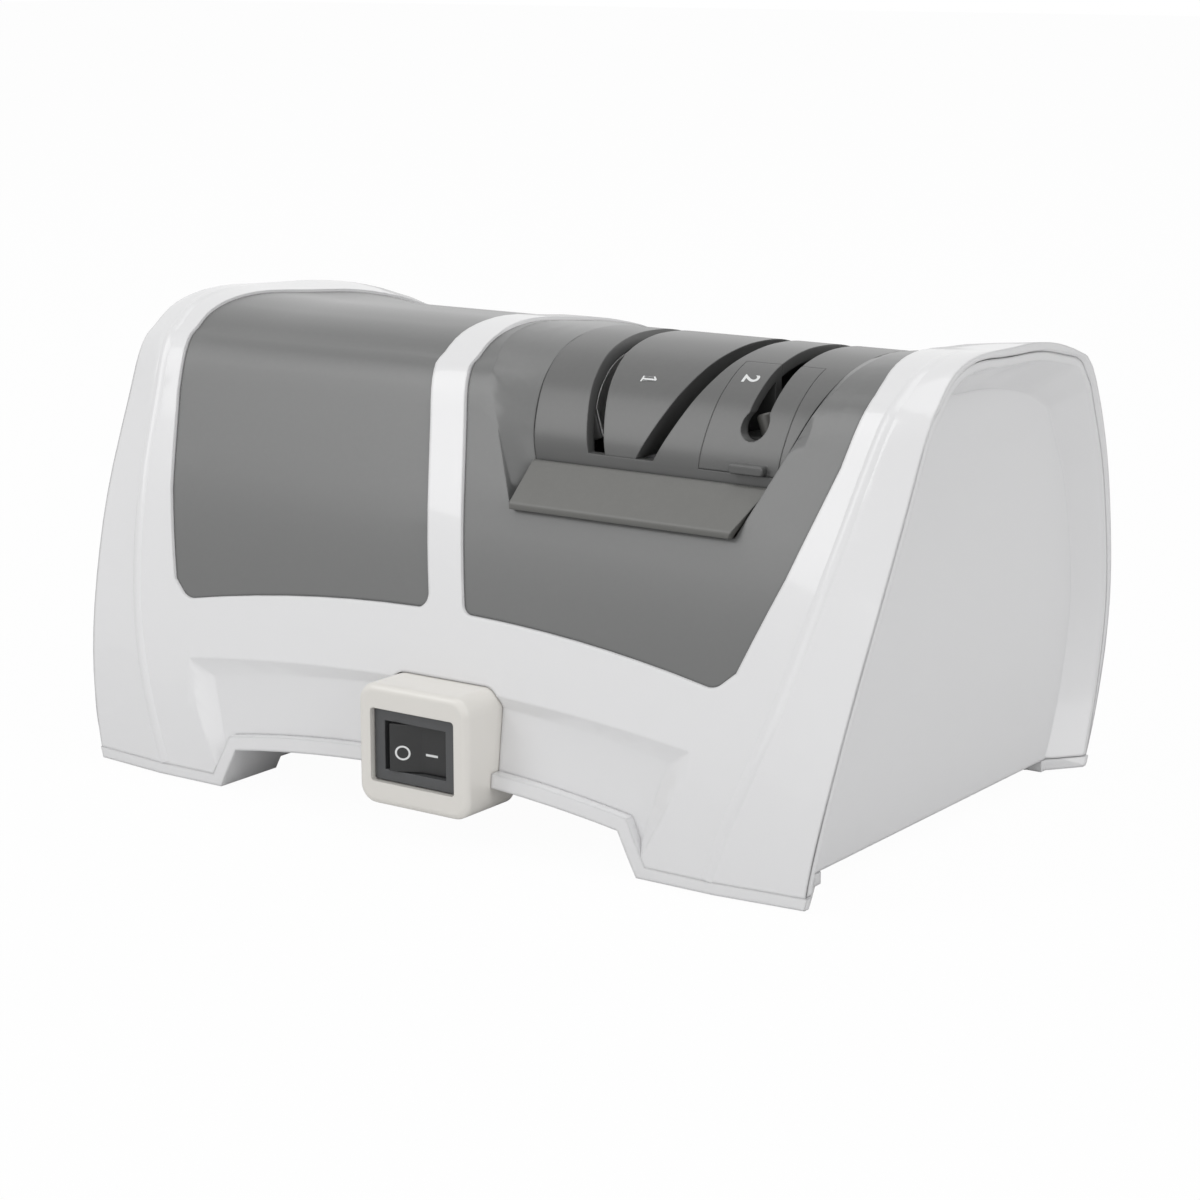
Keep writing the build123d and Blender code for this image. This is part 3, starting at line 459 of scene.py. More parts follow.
def new_piece(name: str, shape: Shape) -> Piece:
    """Turn a shape into an object of the scene; the shape is used up.

    Args:
        name: name of the object.
        shape: its shape, in metres.

    Returns:
        The object.
    """
    mesh = bpy.data.meshes.new(name)
    shape.to_mesh(mesh)
    shape.free()
    return new_object(name, mesh)


def line_x(line: Line2, z: float) -> float:
    """X of a leaning line at one height."""
    (x0, z0), (x1, z1) = line
    return x0 + (x1 - x0) * (z - z0) / (z1 - z0)


def smooth_line(points: Outline, steps: int = 8) -> Outline:
    """A smooth line through the points.

    Args:
        points: places that the line goes through.
        steps: runs between two places.

    Returns:
        The line as close points.
    """
    ends = [points[0], *points, points[-1]]
    line = []
    for a, b, c, d in zip(ends, ends[1:], ends[2:], ends[3:]):
        for step in range(steps):
            t = step / steps
            line.append(tuple(
                b[i] + 0.5 * t * (c[i] - a[i] + t * (2 * a[i] - 5 * b[i] + 4 * c[i] - d[i]
                                                      + t * (3 * (b[i] - c[i]) + d[i] - a[i])))
                for i in (0, 1)))
    return [*line, points[-1]]


def inset_line(points: Outline, depth: float) -> Outline:
    """A line moved to its right by a depth.

    Args:
        points: the line.
        depth: how far it moves.

    Returns:
        The moved line.
    """
    moved = []
    last = len(points) - 1
    for i, (y, z) in enumerate(points):
        before, after = points[max(i - 1, 0)], points[min(i + 1, last)]
        dy, dz = after[0] - before[0], after[1] - before[1]
        length = math.hypot(dy, dz) or 1.0
        moved.append((y + depth * dz / length, z - depth * dy / length))
    return moved


def bearing(y: float, z: float, centre: Pair) -> Pair:
    """Direction of a point from a centre, measured from the front over the top, and its distance.

    Args:
        y: depth of the point.
        z: height of the point.
        centre: the centre, as (y, z).

    Returns:
        The angle in radians, and the distance.
    """
    angle = math.atan2(z - centre[1], centre[0] - y)
    return angle if angle > -math.pi / 2 else angle + 2 * math.pi, math.hypot(y - centre[0], z - centre[1])


class Girth:
    """How far a side outline lies from a centre, in every direction."""

    def __init__(self, points: Outline, centre: Pair) -> None:
        """Measure the outline.

        Args:
            points: the outline, from the front over the top to the rear.
            centre: the centre, as (y, z).
        """
        self.angles, self.reach = np.array(sorted(bearing(y, z, centre) for y, z in points)).T

    def at(self, angle: float) -> float:
        """Distance in one direction."""
        return float(np.interp(angle, self.angles, self.reach))


class Refit:
    """Moves points radially so that one outline becomes another."""

    def __init__(self, old: Outline, new: Outline, centre: Pair, fade: float = 0.0) -> None:
        """Prepare both outlines.

        Args:
            old: outline of the solid.
            new: outline that it gets.
            centre: centre that both are seen from.
            fade: share of the radius over which the move dies out beyond the outline; 0 keeps it.
        """
        self.centre = centre
        self.old = Girth(old, centre)
        self.new = Girth(new, centre)
        self.fade = fade

    def move(self, y: float, z: float) -> Pair:
        """Where a point goes.

        Args:
            y: depth of the point.
            z: height of the point.

        Returns:
            Its new depth and height.
        """
        angle, far = bearing(y, z, self.centre)
        old, new = self.old.at(angle), self.new.at(angle)
        if self.fade and far > old:
            share = max(0.0, 1.0 - (far / old - 1.0) / self.fade)
            scale = 1.0 + (new - old) * share / far
        else:
            scale = new / old
        return tuple(c + (v - c) * scale for v, c in zip((y, z), self.centre))


def ease(value: float) -> float:
    """Smooth step from 0 to 1."""
    value = min(1.0, max(0.0, value))
    return value * value * (3.0 - 2.0 * value)


@dataclass
class Shell:
    """The casing, its covers and end caps, drawn to their finer outline.

    The solids have one outline along their whole length. Here the crest is lower in the middle and rises
    to the rims, the covers lie nearer to the bands' surface, and the pocket follows the saddle.
    """

    solid: Outline = (
        *FRONT_FOOT, (23.2, 82.4), (29.8, 93.0), (36.6, 97.4), (62.5, 101.0), (82.0, 100.6), (98.0, 98.4),
        (111.0, 95.2), (118.4, 92.4), (122.4, 87.0), (129.2, 72.7), (133.4, 56.0), *REAR_FOOT)
    middle: Outline = (
        *FRONT_FOOT, (23.2, 82.2), (28.6, 92.2), (34.8, 97.2), (46.0, 99.5), (60.0, 100.4), (77.0, 98.8),
        (92.0, 95.7), (104.0, 92.0), (112.6, 87.6), (118.6, 81.0), (126.8, 67.5), (132.4, 53.0), *REAR_FOOT)
    rim: Outline = (
        *FRONT_FOOT, (23.4, 82.8), (29.6, 93.8), (36.0, 98.4), (47.0, 100.8), (62.0, 101.6), (82.0, 100.8),
        (98.0, 98.8), (110.0, 96.0), (117.4, 92.6), (122.2, 86.0), (128.9, 72.3), (133.2, 55.6), *REAR_FOOT)
    centre: Pair = (61.0, 50.0)
    level_reach: float = 66.0  # half length over which the middle's outline holds
    rim_reach: float = 100.0  # from here on the rim's holds
    belts: int = 6  # cuts between the two, less one
    solid_sink: float = 1.5  # how far the solids' covers lie below the bands
    sink: float = 0.6  # and the finer ones
    weld: float = 0.002  # points nearer than this are one
    flat_turn: float = 0.15  # faces that turn by fewer degrees than this are one

    rim_round: float = 0.9  # radius along the rims
    rim_facets: int = 3
    rim_turn: float = 35.0  # degrees by which a rim's edge turns at least
    rim_facing: float = 0.85  # and how far one of its faces looks sideways
    rim_x: float = 90.0  # the rims lie outside this half length
    rim_z: float = 5.0  # and above this height

    crease: Outline = (  # half width at which the bands' crease lies, by height
        (70.2, 0.0), (71.7, 4.0), (74.9, 13.0), (78.0, 21.0), (80.5, 28.0), (82.8, 35.0), (84.9, 43.0),
        (87.4, 54.0), (89.8, 67.0), (91.6, 80.0), (93.6, 92.0), (95.0, 101.0))
    crease_profile: tuple[Pair, ...] = (  # across the ridge and above the band
        (-1.5, -0.06), (-0.9, 0.15), (-0.35, 0.3), (0.0, 0.33), (0.35, 0.3), (0.9, 0.15), (1.5, -0.06))
    crease_foot: Pair = (0.2, 3.5)  # where it meets the base's lip, as (y, z)
    crease_step: float = 1.0  # height that its first row keeps to itself
    crease_end: int = 9  # points of the middle's outline, from the table, that it follows
    crease_runs: int = 5  # runs between two of them
    crease_fade: int = 8  # rows over which it runs out at the crest
    crease_bury: float = 0.06  # how deep it ends
    aim_z: float = 40.0  # height that the front is probed towards
    probe: float = 12.0  # how far outside the probes start
    probe_reach: float = 20.0  # and how far they go
    near_probe: float = 2.0  # how far above the band each row is probed again

    def _on_rim(self, edge: bmesh.types.BMEdge) -> bool:
        """Whether an edge is one of the rims' outer or inner edges.

        Args:
            edge: the edge.

        Returns:
            True on a rim.
        """
        if len(edge.link_faces) != 2 or edge.calc_face_angle_signed(0.0) < math.radians(self.rim_turn):
            return False
        middle = (edge.verts[0].co + edge.verts[1].co) / 2 / MM
        facing = max(abs(face.normal.x) for face in edge.link_faces)
        return facing > self.rim_facing and abs(middle.x) > self.rim_x and middle.z > self.rim_z

    def _crease_path(self, casing: Piece, side: int) -> list[tuple[Vector, Vector]]:
        """Places and normals along one band's crease, from the foot to the crest.

        Args:
            casing: the redrawn casing.
            side: -1 for the left band and 1 for the right one.

        Returns:
            Each place with the normal there.
        """
        reach, heights = zip(*self.crease)
        front = smooth_line(self.middle[:self.crease_end], self.crease_runs)
        path = []
        first = self.crease_foot[1] + self.crease_step
        for y, z in [self.crease_foot, *[spot for spot in front if spot[1] > first]]:
            outward = Vector((0.0, y - self.centre[0], z - self.aim_z)).normalized()
            start = to_frame(side * float(np.interp(z, heights, reach)), y, z) + outward * self.probe * MM
            found, place, normal, _ = casing.ray_cast(start, -outward)
            if found and (place - start).length < self.probe_reach * MM:
                path.append((place, normal))
        return path

    def _crease_shape(self, casing: Piece, path: list[tuple[Vector, Vector]]) -> Shape:
        """The ridge along a path, laid on the casing point by point.

        Args:
            casing: the redrawn casing.
            path: places and normals along the crease.

        Returns:
            The ridge.
        """
        shape = bmesh.new()
        rows = []
        last = len(path) - 1
        for i, (place, normal) in enumerate(path):
            along = (path[min(i + 1, last)][0] - path[max(i - 1, 0)][0]).normalized()
            across = along.cross(normal).normalized()
            height = min(1.0, (last - i) / self.crease_fade)
            row = []
            for aside, above in self.crease_profile:
                spot = place + across * aside * MM
                found, near, _, _ = casing.ray_cast(spot + normal * self.near_probe * MM, -normal)
                lift = above * height - self.crease_bury * (1.0 - height)
                row.append(shape.verts.new((near if found else spot) + normal * lift * MM))
            rows.append(row)
        for near, far in zip(rows, rows[1:]):
            for i in range(len(near) - 1):
                shape.faces.new((near[i], near[i + 1], far[i + 1], far[i])).smooth = True
        bmesh.ops.recalc_face_normals(shape, faces=shape.faces[:])
        return shape

    def creases(self, casing: Piece, shop: PaintShop) -> None:
        """Lay the soft ridge along the crease of each end band.

        Args:
            casing: the redrawn casing.
            shop: where the finish comes from.
        """
        for name, side in (("left_crease", -1), ("right_crease", 1)):
            piece = new_piece(name, self._crease_shape(casing, self._crease_path(casing, side)))
            shop.coat(piece, "white_casing")
            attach(piece, "body")
            LOG.info("laid %s", name)

    def build(self, frame: dict, saddle: "Saddle") -> dict[str, Piece]:
        """Redraw every node.

        Args:
            frame: the loaded frame.
            saddle: the saddle, whose ends the pocket follows.

        Returns:
            The pieces by the node that each stands for.
        """
        fits = {}
        for sunk in (False, True):
            old = inset_line(smooth_line(self.solid), self.solid_sink if sunk else 0.0)
            fits[sunk] = tuple(
                Refit(old, inset_line(smooth_line(new), self.sink if sunk else 0.0), self.centre)
                for new in (self.middle, self.rim))
        pieces = {}
        for node in ("casing", "left_cover", "right_cover", "left_end_cap", "right_end_cap"):
            pieces[node] = self._redraw(frame, node, fits[node.endswith("_cover")],
                                        saddle if node == "right_cover" else None)
            LOG.info("redrew %s", node)
        return pieces

    def _redraw(self, frame: dict, node: str, fits: tuple[Refit, Refit], saddle: Optional["Saddle"]) -> Piece:
        """Copy a node's mesh, cut it where the form changes, and move its points.

        Args:
            frame: the loaded frame.
            node: the node to redraw.
            fits: the middle's and the rims' change of outline.
            saddle: the saddle that the pocket follows, for the cover that has one.

        Returns:
            The piece.
        """
        shape = bmesh.new()
        shape.from_mesh(frame["nodes"][node].data)
        bmesh.ops.remove_doubles(shape, verts=shape.verts[:], dist=self.weld * MM)
        bmesh.ops.dissolve_limit(shape, angle_limit=math.radians(self.flat_turn), verts=shape.verts[:],
                                 edges=shape.edges[:])
        shape.normal_update()
        if node == "casing":
            rim_edges = [edge for edge in shape.edges if self._on_rim(edge)]
            bmesh.ops.bevel(shape, geom=rim_edges, offset=self.rim_round * MM, offset_type="OFFSET",
                            segments=self.rim_facets, profile=0.5, affect="EDGES", clamp_overlap=True)
        for i in range(self.belts + 1):
            for side in (-1, 1):
                x = side * (self.level_reach + (self.rim_reach - self.level_reach) * i / self.belts) * MM
                bmesh.ops.bisect_plane(shape, geom=shape.verts[:] + shape.edges[:] + shape.faces[:],
                                       plane_co=(x, 0.0, 0.0), plane_no=(1.0, 0.0, 0.0), dist=CUT_SLACK)
        middle, rim = fits
        for vertex in shape.verts:
            x, y, z = vertex.co / MM
            y += MODEL_Y
            share = ease((abs(x) - self.level_reach) / (self.rim_reach - self.level_reach))
            (ya, za), (yb, zb) = middle.move(y, z), rim.move(y, z)
            place = (x, ya + (yb - ya) * share, za + (zb - za) * share)
            if saddle:
                place = saddle.fit_pocket((x, y, z), place)
            vertex.co = to_frame(*place)
        return finish_piece(shape, node, frame)


def finish_piece(shape: Shape, node: str, frame: dict) -> Piece:
    """Turn a shape into a piece that stands for a node.

    Args:
        shape: the shape, in metres; it is used up.
        node: the node that it replaces, whose body it takes and whose slot it looks up.
        frame: the loaded frame.

    Returns:
        The piece.
    """
    limit = math.radians(SHARP_TURN)
    bmesh.ops.recalc_face_normals(shape, faces=shape.faces[:])
    for face in shape.faces:
        face.smooth = True
    for edge in shape.edges:
        edge.smooth = len(edge.link_faces) == 2 and edge.calc_face_angle(0.0) < limit
    piece = new_piece(node + "_form", shape)
    weigh = piece.modifiers.new("even_shading", "WEIGHTED_NORMAL")
    weigh.keep_sharp = True
    bodies = frame["record"]["behaviour"]["bodies"]
    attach(piece, next(body for body, nodes in bodies.items() if node in nodes))
    PaintShop.slot_of(frame, node)
    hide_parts(node)
    return piece


def closed(rings: list[list[Vector]]) -> Shape:
    """A closed solid between two or more matching rings, capped at both ends.

    Args:
        rings: the rings, each with as many places.

    Returns:
        The solid.
    """
    shape = bmesh.new()
    rows = [[shape.verts.new(place) for place in points] for points in rings]
    for near, far in zip(rows, rows[1:]):
        for i in range(len(near)):
            j = (i + 1) % len(near)
            shape.faces.new((near[i], near[j], far[j], far[i]))
    shape.faces.new(rows[0][::-1])
    shape.faces.new(rows[-1])
    bmesh.ops.recalc_face_normals(shape, faces=shape.faces[:])
    return shape


def front_prism(points: Outline, y: Pair) -> Shape:
    """A prism from a front view, as (x, z) points, between two depths."""
    return closed([[to_frame(x, depth, z) for x, z in points] for depth in y])


def block(x: Pair, y: Pair, z: Pair) -> Shape:
    """A block between two corners."""
    return front_prism([(x[0], z[0]), (x[1], z[0]), (x[1], z[1]), (x[0], z[1])], y)


class Cut(Enum):
    """How two solids are combined."""

    REMOVE = "DIFFERENCE"
    KEEP = "INTERSECT"
    JOIN = "UNION"


def combine(shape: Shape, steps: list[tuple[Cut, Shape]]) -> Shape:
    """Combine a solid with others, one after the other.

    Args:
        shape: the first solid; it is used up.
        steps: each way of combining, and its solid.

    Returns:
        The result.
    """
    holder = new_piece("tool", shape)
    tools = [holder]
    for way, tool in steps:
        tools.append(new_piece("tool", tool))
        change = holder.modifiers.new("cut", "BOOLEAN")
        change.operation = way.value
        change.solver = "EXACT"
        change.object = tools[-1]
    graph = bpy.context.evaluated_depsgraph_get()
    mesh = bpy.data.meshes.new_from_object(holder.evaluated_get(graph))
    result = bmesh.new()
    result.from_mesh(mesh)
    bpy.data.meshes.remove(mesh)
    for tool in tools:
        data = tool.data
        bpy.data.objects.remove(tool)
        bpy.data.meshes.remove(data)
    bmesh.ops.remove_doubles(result, verts=result.verts[:], dist=CUT_WELD)
    return result


def rounded(points: Outline, radius: float, steps: int = 4) -> Outline:
    """An outline whose corners are rounded.

    Args:
        points: its corners.
        radius: how far from a corner the rounding starts.
        steps: runs in each rounding.

    Returns:
        The outline.
    """
    line = []
    count = len(points)
    for i, (y, z) in enumerate(points):
        before, after = Vector(points[i - 1]), Vector(points[(i + 1) % count])
        corner = Vector((y, z))
        to_before, to_after = (before - corner), (after - corner)
        cut = min(radius, to_before.length * CORNER_SHARE, to_after.length * CORNER_SHARE)
        start, end = corner + to_before.normalized() * cut, corner + to_after.normalized() * cut
        for step in range(steps + 1):
            t = step / steps
            line.append(tuple((1 - t) ** 2 * start + 2 * t * (1 - t) * corner + t * t * end))
    return line


def merged(shapes: list[Shape]) -> Shape:
    """Several solids in one shape.

    Args:
        shapes: the solids; they are used up.

    Returns:
        The shape.
    """
    whole = bmesh.new()
    for shape in shapes:
        mesh = bpy.data.meshes.new("part")
        shape.to_mesh(mesh)
        shape.free()
        whole.from_mesh(mesh)
        bpy.data.meshes.remove(mesh)
    return whole


@dataclass(frozen=True)
class Cartridge:
    """The pull-out fine insert: a hollow block with a keyhole slot, a thumb tab and two crossed rods."""

    keyhole: Triple = (62.8, 87.6, 3.1)  # x, z and radius
    keyhole_steps: int = 24
    slot_width: float = 4.7
    sides: Pair = (52.2, 70.8)
    front: float = 10.0
    back: float = 43.3
    bottom: float = 78.4
    gap: float = 0.12
    wall: float = 2.2
    hollow_front: float = 20.0

    holder_depth: float = 0.5  # the rods' holder: below the surface and above the bottom
    holder_half: float = 6.5
    holder_front: float = 32.4
    holder_back: float = 1.0
    holder_top: float = 84.5

    tab_x: Pair = (60.2, 68.2)
    tab_reach: float = 1.2
    tab_height: float = 2.1
    tab_depth: float = 3.2
    tab_round: float = 0.95
    tab_bevel: float = 0.3

    rod_radius: float = 1.6
    rod_length: float = 10.5
    rod_lean: float = 20.0
    rod_place: Pair = (37.6, 84.0)  # y and z where they cross
    rod_part: float = 0.2  # half of the gap between them
    rod_bevel: float = 0.4
    rod_steps: int = 28
    rod_room: float = 0.05

    def keyhole_cut(self) -> Shape:
        """The fine slot: a round hole with a narrow slot rising out of it.

        Returns:
            The room that is cut away.
        """
        x, z, radius = self.keyhole
        half, steps = self.slot_width / 2, self.keyhole_steps
        start = math.asin(half / radius)
        arc = [math.pi / 2 - start - i * (2 * math.pi - 2 * start) / steps for i in range(steps + 1)]
        points = [(x + radius * math.cos(a), z + radius * math.sin(a)) for a in arc]
        return front_prism([*points, (x - half, ABOVE), (x + half, ABOVE)], THROUGH)

    def room(self, gap: float, front: float) -> Shape:
        """The room that it slides into, made smaller by a gap.

        Args:
            gap: how much smaller it is on each side.
            front: depth at which it starts.

        Returns:
            The room.
        """
        left, right = self.sides
        return block((left + gap, right - gap), (front, self.back - gap), (self.bottom + gap, ABOVE))

    def body(self, saddle: "Saddle") -> Shape:
        """The hollow block with its holder for the rods, the thumb tab and the fine slot.

        Args:
            saddle: the saddle, whose form it shares.

        Returns:
            The block.
        """
        x = self.keyhole[0]
        hollow = combine(saddle.form(self.wall, saddle.pocket_low),
                         [(Cut.KEEP, self.room(self.wall, self.hollow_front))])
        holder = combine(saddle.form(self.holder_depth), [
            (Cut.KEEP, block((x - self.holder_half, x + self.holder_half),
                             (self.holder_front, self.back - self.holder_back),
                             (self.bottom + self.holder_depth, self.holder_top)))])
        return combine(saddle.form(0.0), [
            (Cut.KEEP, self.room(self.gap, self.front)), (Cut.REMOVE, hollow), (Cut.JOIN, holder),
            (Cut.JOIN, self._tab(saddle.outline[0][0] - self.tab_reach)), (Cut.REMOVE, self.keyhole_cut()),
            *[(Cut.REMOVE, rod) for rod in self.rods(self.rod_room)]])

    def _tab(self, front: float) -> Shape:
        """Thumb tab on the lower edge.

        Args:
            front: depth of its front.

        Returns:
            The tab.
        """
        low, high = self.bottom + self.gap, self.bottom + self.tab_height
        left, right = self.tab_x
        outline, face = [
            rounded([(left + cut, low + cut), (right - cut, low + cut), (right - cut, high - cut),
                     (left + cut, high - cut)], self.tab_round - cut) for cut in (0.0, self.tab_bevel)]
        return closed([[to_frame(x, y, z) for x, z in points] for points, y in (
            (face, front - self.tab_bevel), (outline, front), (outline, front + self.tab_depth))])

    def rods(self, grow: float) -> list[Shape]:
        """The two crossed rods, grown by a clearance.

        Args:
            grow: the clearance.

        Returns:
            The rods.
        """
        made = []
        radius, half, bevel = self.rod_radius + grow, self.rod_length / 2 + grow, self.rod_bevel
        profile = [(radius - bevel, -half), (radius, -half + bevel), (radius, half - bevel),
                   (radius - bevel, half)]
        turns = [2 * math.pi * i / self.rod_steps for i in range(self.rod_steps)]
        for side in (-1, 1):
            lean = Matrix.Rotation(math.radians(side * self.rod_lean), 3, "Y")
            centre = Vector((self.keyhole[0], self.rod_place[0] + side * (self.rod_radius + self.rod_part),
                             self.rod_place[1]))
            made.append(closed([
                [to_frame(*(centre + lean @ Vector((far * math.cos(turn), far * math.sin(turn), along))))
                 for turn in turns] for far, along in profile]))
        return made


@dataclass(frozen=True)
class Ledge:
    """The knife rest before the saddle: a thin shelf with an overhanging front lip."""

    ends: Sides = (((12.8, 66.9), (12.6, 76.5)), ((65.6, 66.9), (69.9, 76.5)))
    top: Outline = ((15.4, 67.15), (15.1, 68.65), (23.75, 76.4), (24.95, 76.4))  # the lip and the shelf
    under: Outline = ((24.95, 67.15), (23.15, 67.15), (23.15, 73.4), (17.6, 68.35), (17.4, 67.15))
    radius: float = 0.7

    def body(self) -> Shape:
        """The whole ledge."""
        profile = [*rounded(self.top, self.radius)[2:], *self.under]
        return closed([[to_frame(line_x(end, z), y, z) for y, z in profile] for end in self.ends])


@dataclass
class Saddle:
    """The slotted guide saddle with its wedge and leaf sheets, its cartridge and the ledge before it.

    All lengths are in millimetres. Leaning lines are two (x, z) points, the left one first.
    """

    outline: Outline = (
        (25.2, 67.1), (25.2, 75.5), (26.2, 81.5), (30.2, 88.4), (34.8, 93.2), (41.5, 97.2), (50.0, 99.4),
        (58.5, 99.9), (68.0, 99.0), (78.0, 96.0), (86.4, 91.0), (92.4, 84.6), (96.0, 78.0), (97.2, 73.0),
        (97.2, 67.1))
    solid_outline: Outline = (
        (24.0, 60.0), (24.0, 76.0), (24.9, 82.0), (28.2, 88.4), (33.6, 93.2), (41.0, 96.7), (51.0, 98.5),
        (61.3, 98.9), (71.6, 98.5), (81.6, 96.7), (89.0, 93.2), (94.4, 88.4), (97.7, 82.0), (98.6, 76.0),
        (98.6, 60.0))
    outline_runs: int = 6  # runs between two of its points
    least_step: float = 0.05  # points nearer to the lower edge than this are dropped
    centre: Pair = (60.0, 60.0)
    low: float = 67.1  # the saddle's lower edge

    ends: Sides = (((14.4, 67.5), (7.2, 98.9)), ((67.6, 67.5), (77.0, 98.9)))
    solid_ends: Sides = (((12.0, 67.5), (7.3, 98.9)), ((68.8, 67.5), (76.4, 98.9)))
    edges: Sides = (((11.6, 67.5), (-4.6, 96.0)), ((66.6, 67.5), (79.6, 96.3)))
    solid_edges: Sides = (((11.6, 67.5), (-4.1, 96.0)), ((69.0, 67.5), (78.8, 96.3)))
    cover_edges: Sides = (((6.4, 46.0), (-8.2, 93.0)), ((80.2, 61.8), (87.9, 93.5)))
    cover_strip: float = 0.4  # strip along the cover's own edges that stays
    pocket_low: float = 60.0  # the pocket is moved above this height
    pocket_rise: float = 6.0  # over this rise it sets in
    pocket_fade: float = 0.25  # share of the radius over which it dies out
    pocket_middle: float = 40.0  # x that parts the left flank from the right one
    least_flank: float = 0.5  # a narrower flank is a step

    wall: float = 2.4
    gap: float = 0.04
    slot_width: float = 3.9
    slot_bottom: float = 78.8
    slots: tuple[tuple[float, float, int], ...] = ((27.5, -18.0, -1), (39.2, 24.2, 1))  # x, lean, outer side
    slot_lean: float = 24.0  # lean that the slots' width is measured at
    guide_reach: Pair = (0.6, 2.6)  # the guide walls' faces, beyond the slots'
    guide_low: float = 80.8
    guide_depths: Pair = (27.0, 95.4)
    guide_bite: float = 0.3  # how far they reach into the saddle's wall
    sheet_reach: Pair = (0.05, 0.5)
    sheet_low: float = 81.2
    sheet_depths: Pair = (32.3, 90.3)
    sheet_gap: float = 0.1
    wedge_wall: float = 3.0
    wedge_side: float = 2.4
    cartridge: Cartridge = Cartridge()
    ledge: Ledge = Ledge()

    def __post_init__(self) -> None:
        """Prepare the move from the solid's outline to this one."""
        self.refit = Refit(smooth_line(self.solid_outline), smooth_line(self.outline), self.centre,
                           self.pocket_fade)

    def fit_pocket(self, solid: Triple, skin: Triple) -> Triple:
        """Where a point of the right cover goes, so that its pocket follows the saddle.

        Args:
            solid: the point on the solid cover.
            skin: the same point as the shell's outline moves it.

        Returns:
            The point's new place.
        """
        x, y, z = solid
        if z < self.pocket_low:
            return skin
        first = line_x(self.cover_edges[0], z) + self.cover_strip
        last = line_x(self.cover_edges[1], z) - self.cover_strip
        if not first < x < last:
            return skin
        old, new = [[first, *[line_x(line, z) for line in (edges[0], *ends, edges[1])], last]
                    for edges, ends in ((self.solid_edges, self.solid_ends), (self.edges, self.ends))]
        near_x = float(np.interp(x, old, new))
        rise = ease((z - self.pocket_low) / self.pocket_rise)
        side = int(x > self.pocket_middle)
        inner, outer = line_x(self.solid_ends[side], z), line_x(self.solid_edges[side], z)
        share = 0.0
        if abs(inner - outer) > self.least_flank:
            share = min(1.0, max(0.0, (x - outer) / (inner - outer))) * rise
        own_y, own_z = self.refit.move(y, z)
        return (x + (near_x - x) * rise, skin[1] + (own_y - skin[1]) * share,
                skin[2] + (own_z - skin[2]) * share)

    def form(self, depth: float, low: Optional[float] = None) -> Shape:
        """The saddle's outer form at one depth below its surface.

        Args:
            depth: how far below the surface.
            low: where it starts, if not at the lower edge.

        Returns:
            The form as a solid.
        """
        low = self.low if low is None else low
        line = inset_line(smooth_line(self.outline, self.outline_runs), depth)
        line = [(line[0][0], low), *[spot for spot in line if spot[1] > low + self.least_step],
                (line[-1][0], low)]
        rings = []
        for side, end in ((1, self.ends[0]), (-1, self.ends[1])):
            rings.append([to_frame(line_x(end, z) + side * (self.gap + depth), y, z) for y, z in line])
        return closed(rings)

    def slot_x(self, slot: int, z: float) -> float:
        """X of a slot's centre plane at one height.

        Args:
            slot: 0 for the left slot and 1 for the right one.
            z: the height.

        Returns:
            The place.
        """
        x, lean, _ = self.slots[slot]
        return x + math.tan(math.radians(lean)) * (z - self.slot_bottom)

    def between_slots(self, reach: float) -> Shape:
        """The room between the slots' centre planes, widened on both sides.

        Args:
            reach: how much wider, or narrower.

        Returns:
            The room.
        """
        low, high = self.slot_bottom, ABOVE
        return front_prism([(self.slot_x(0, low) - reach, low), (self.slot_x(1, low) + reach, low),
                            (self.slot_x(1, high) + reach, high), (self.slot_x(0, high) - reach, high)],
                           THROUGH)

    def leaf(self, slot: int, reach: Pair, low: float, y: Pair) -> Shape:
        """A sheet or wall that leans with one slot.

        Args:
            slot: 0 for the left slot and 1 for the right one.
            reach: its two faces, beyond the slot's.
            low: its lower edge.
            y: its front and rear.

        Returns:
            The sheet.
        """
        side = self.slots[slot][2]
        near, far = [self.half_slot() + part for part in reach]
        points = [(self.slot_x(slot, z) + side * along, z)
                  for z, along in ((low, near), (low, far), (ABOVE, far), (ABOVE, near))]
        return front_prism(points, y)

    def half_slot(self) -> float:
        """Half of a slot's width, measured along X."""
        return self.slot_width / 2 / math.cos(math.radians(self.slot_lean))

    def build(self, frame: dict) -> dict[str, Piece]:
        """Build every piece.

        Args:
            frame: the loaded frame.

        Returns:
            The pieces by the node that each stands for.
        """
        shapes = {"guide_saddle": self._guide(), "coarse_wedge": self._wedge(),
                  "fine_cartridge": self.cartridge.body(self),
                  "ceramic_rods": merged(self.cartridge.rods(0.0)), "blade_springs": self._sheets(),
                  "knife_ledge": self.ledge.body()}
        pieces = {}
        for node, shape in shapes.items():
            pieces[node] = finish_piece(shape, node, frame)
            LOG.info("shaped %s: %d faces", node, len(pieces[node].data.polygons))
        return pieces

    def _guide(self) -> Shape:
        """Build a hollow shell with a wall beside each slot, and cut the slots and the room into it.

        Returns:
            The saddle.
        """
        steps = [(Cut.REMOVE, self.form(self.wall, self.pocket_low))]
        for slot in (0, 1):
            wall = self.leaf(slot, self.guide_reach, self.guide_low, self.guide_depths)
            steps.append((Cut.JOIN, combine(wall, [(Cut.KEEP, self.form(self.wall - self.guide_bite))])))
        steps += [(Cut.REMOVE, self.between_slots(self.half_slot())),
                  (Cut.REMOVE, self.cartridge.keyhole_cut()),
                  (Cut.REMOVE, self.cartridge.room(0.0, self.cartridge.front))]
        return combine(self.form(0.0), steps)

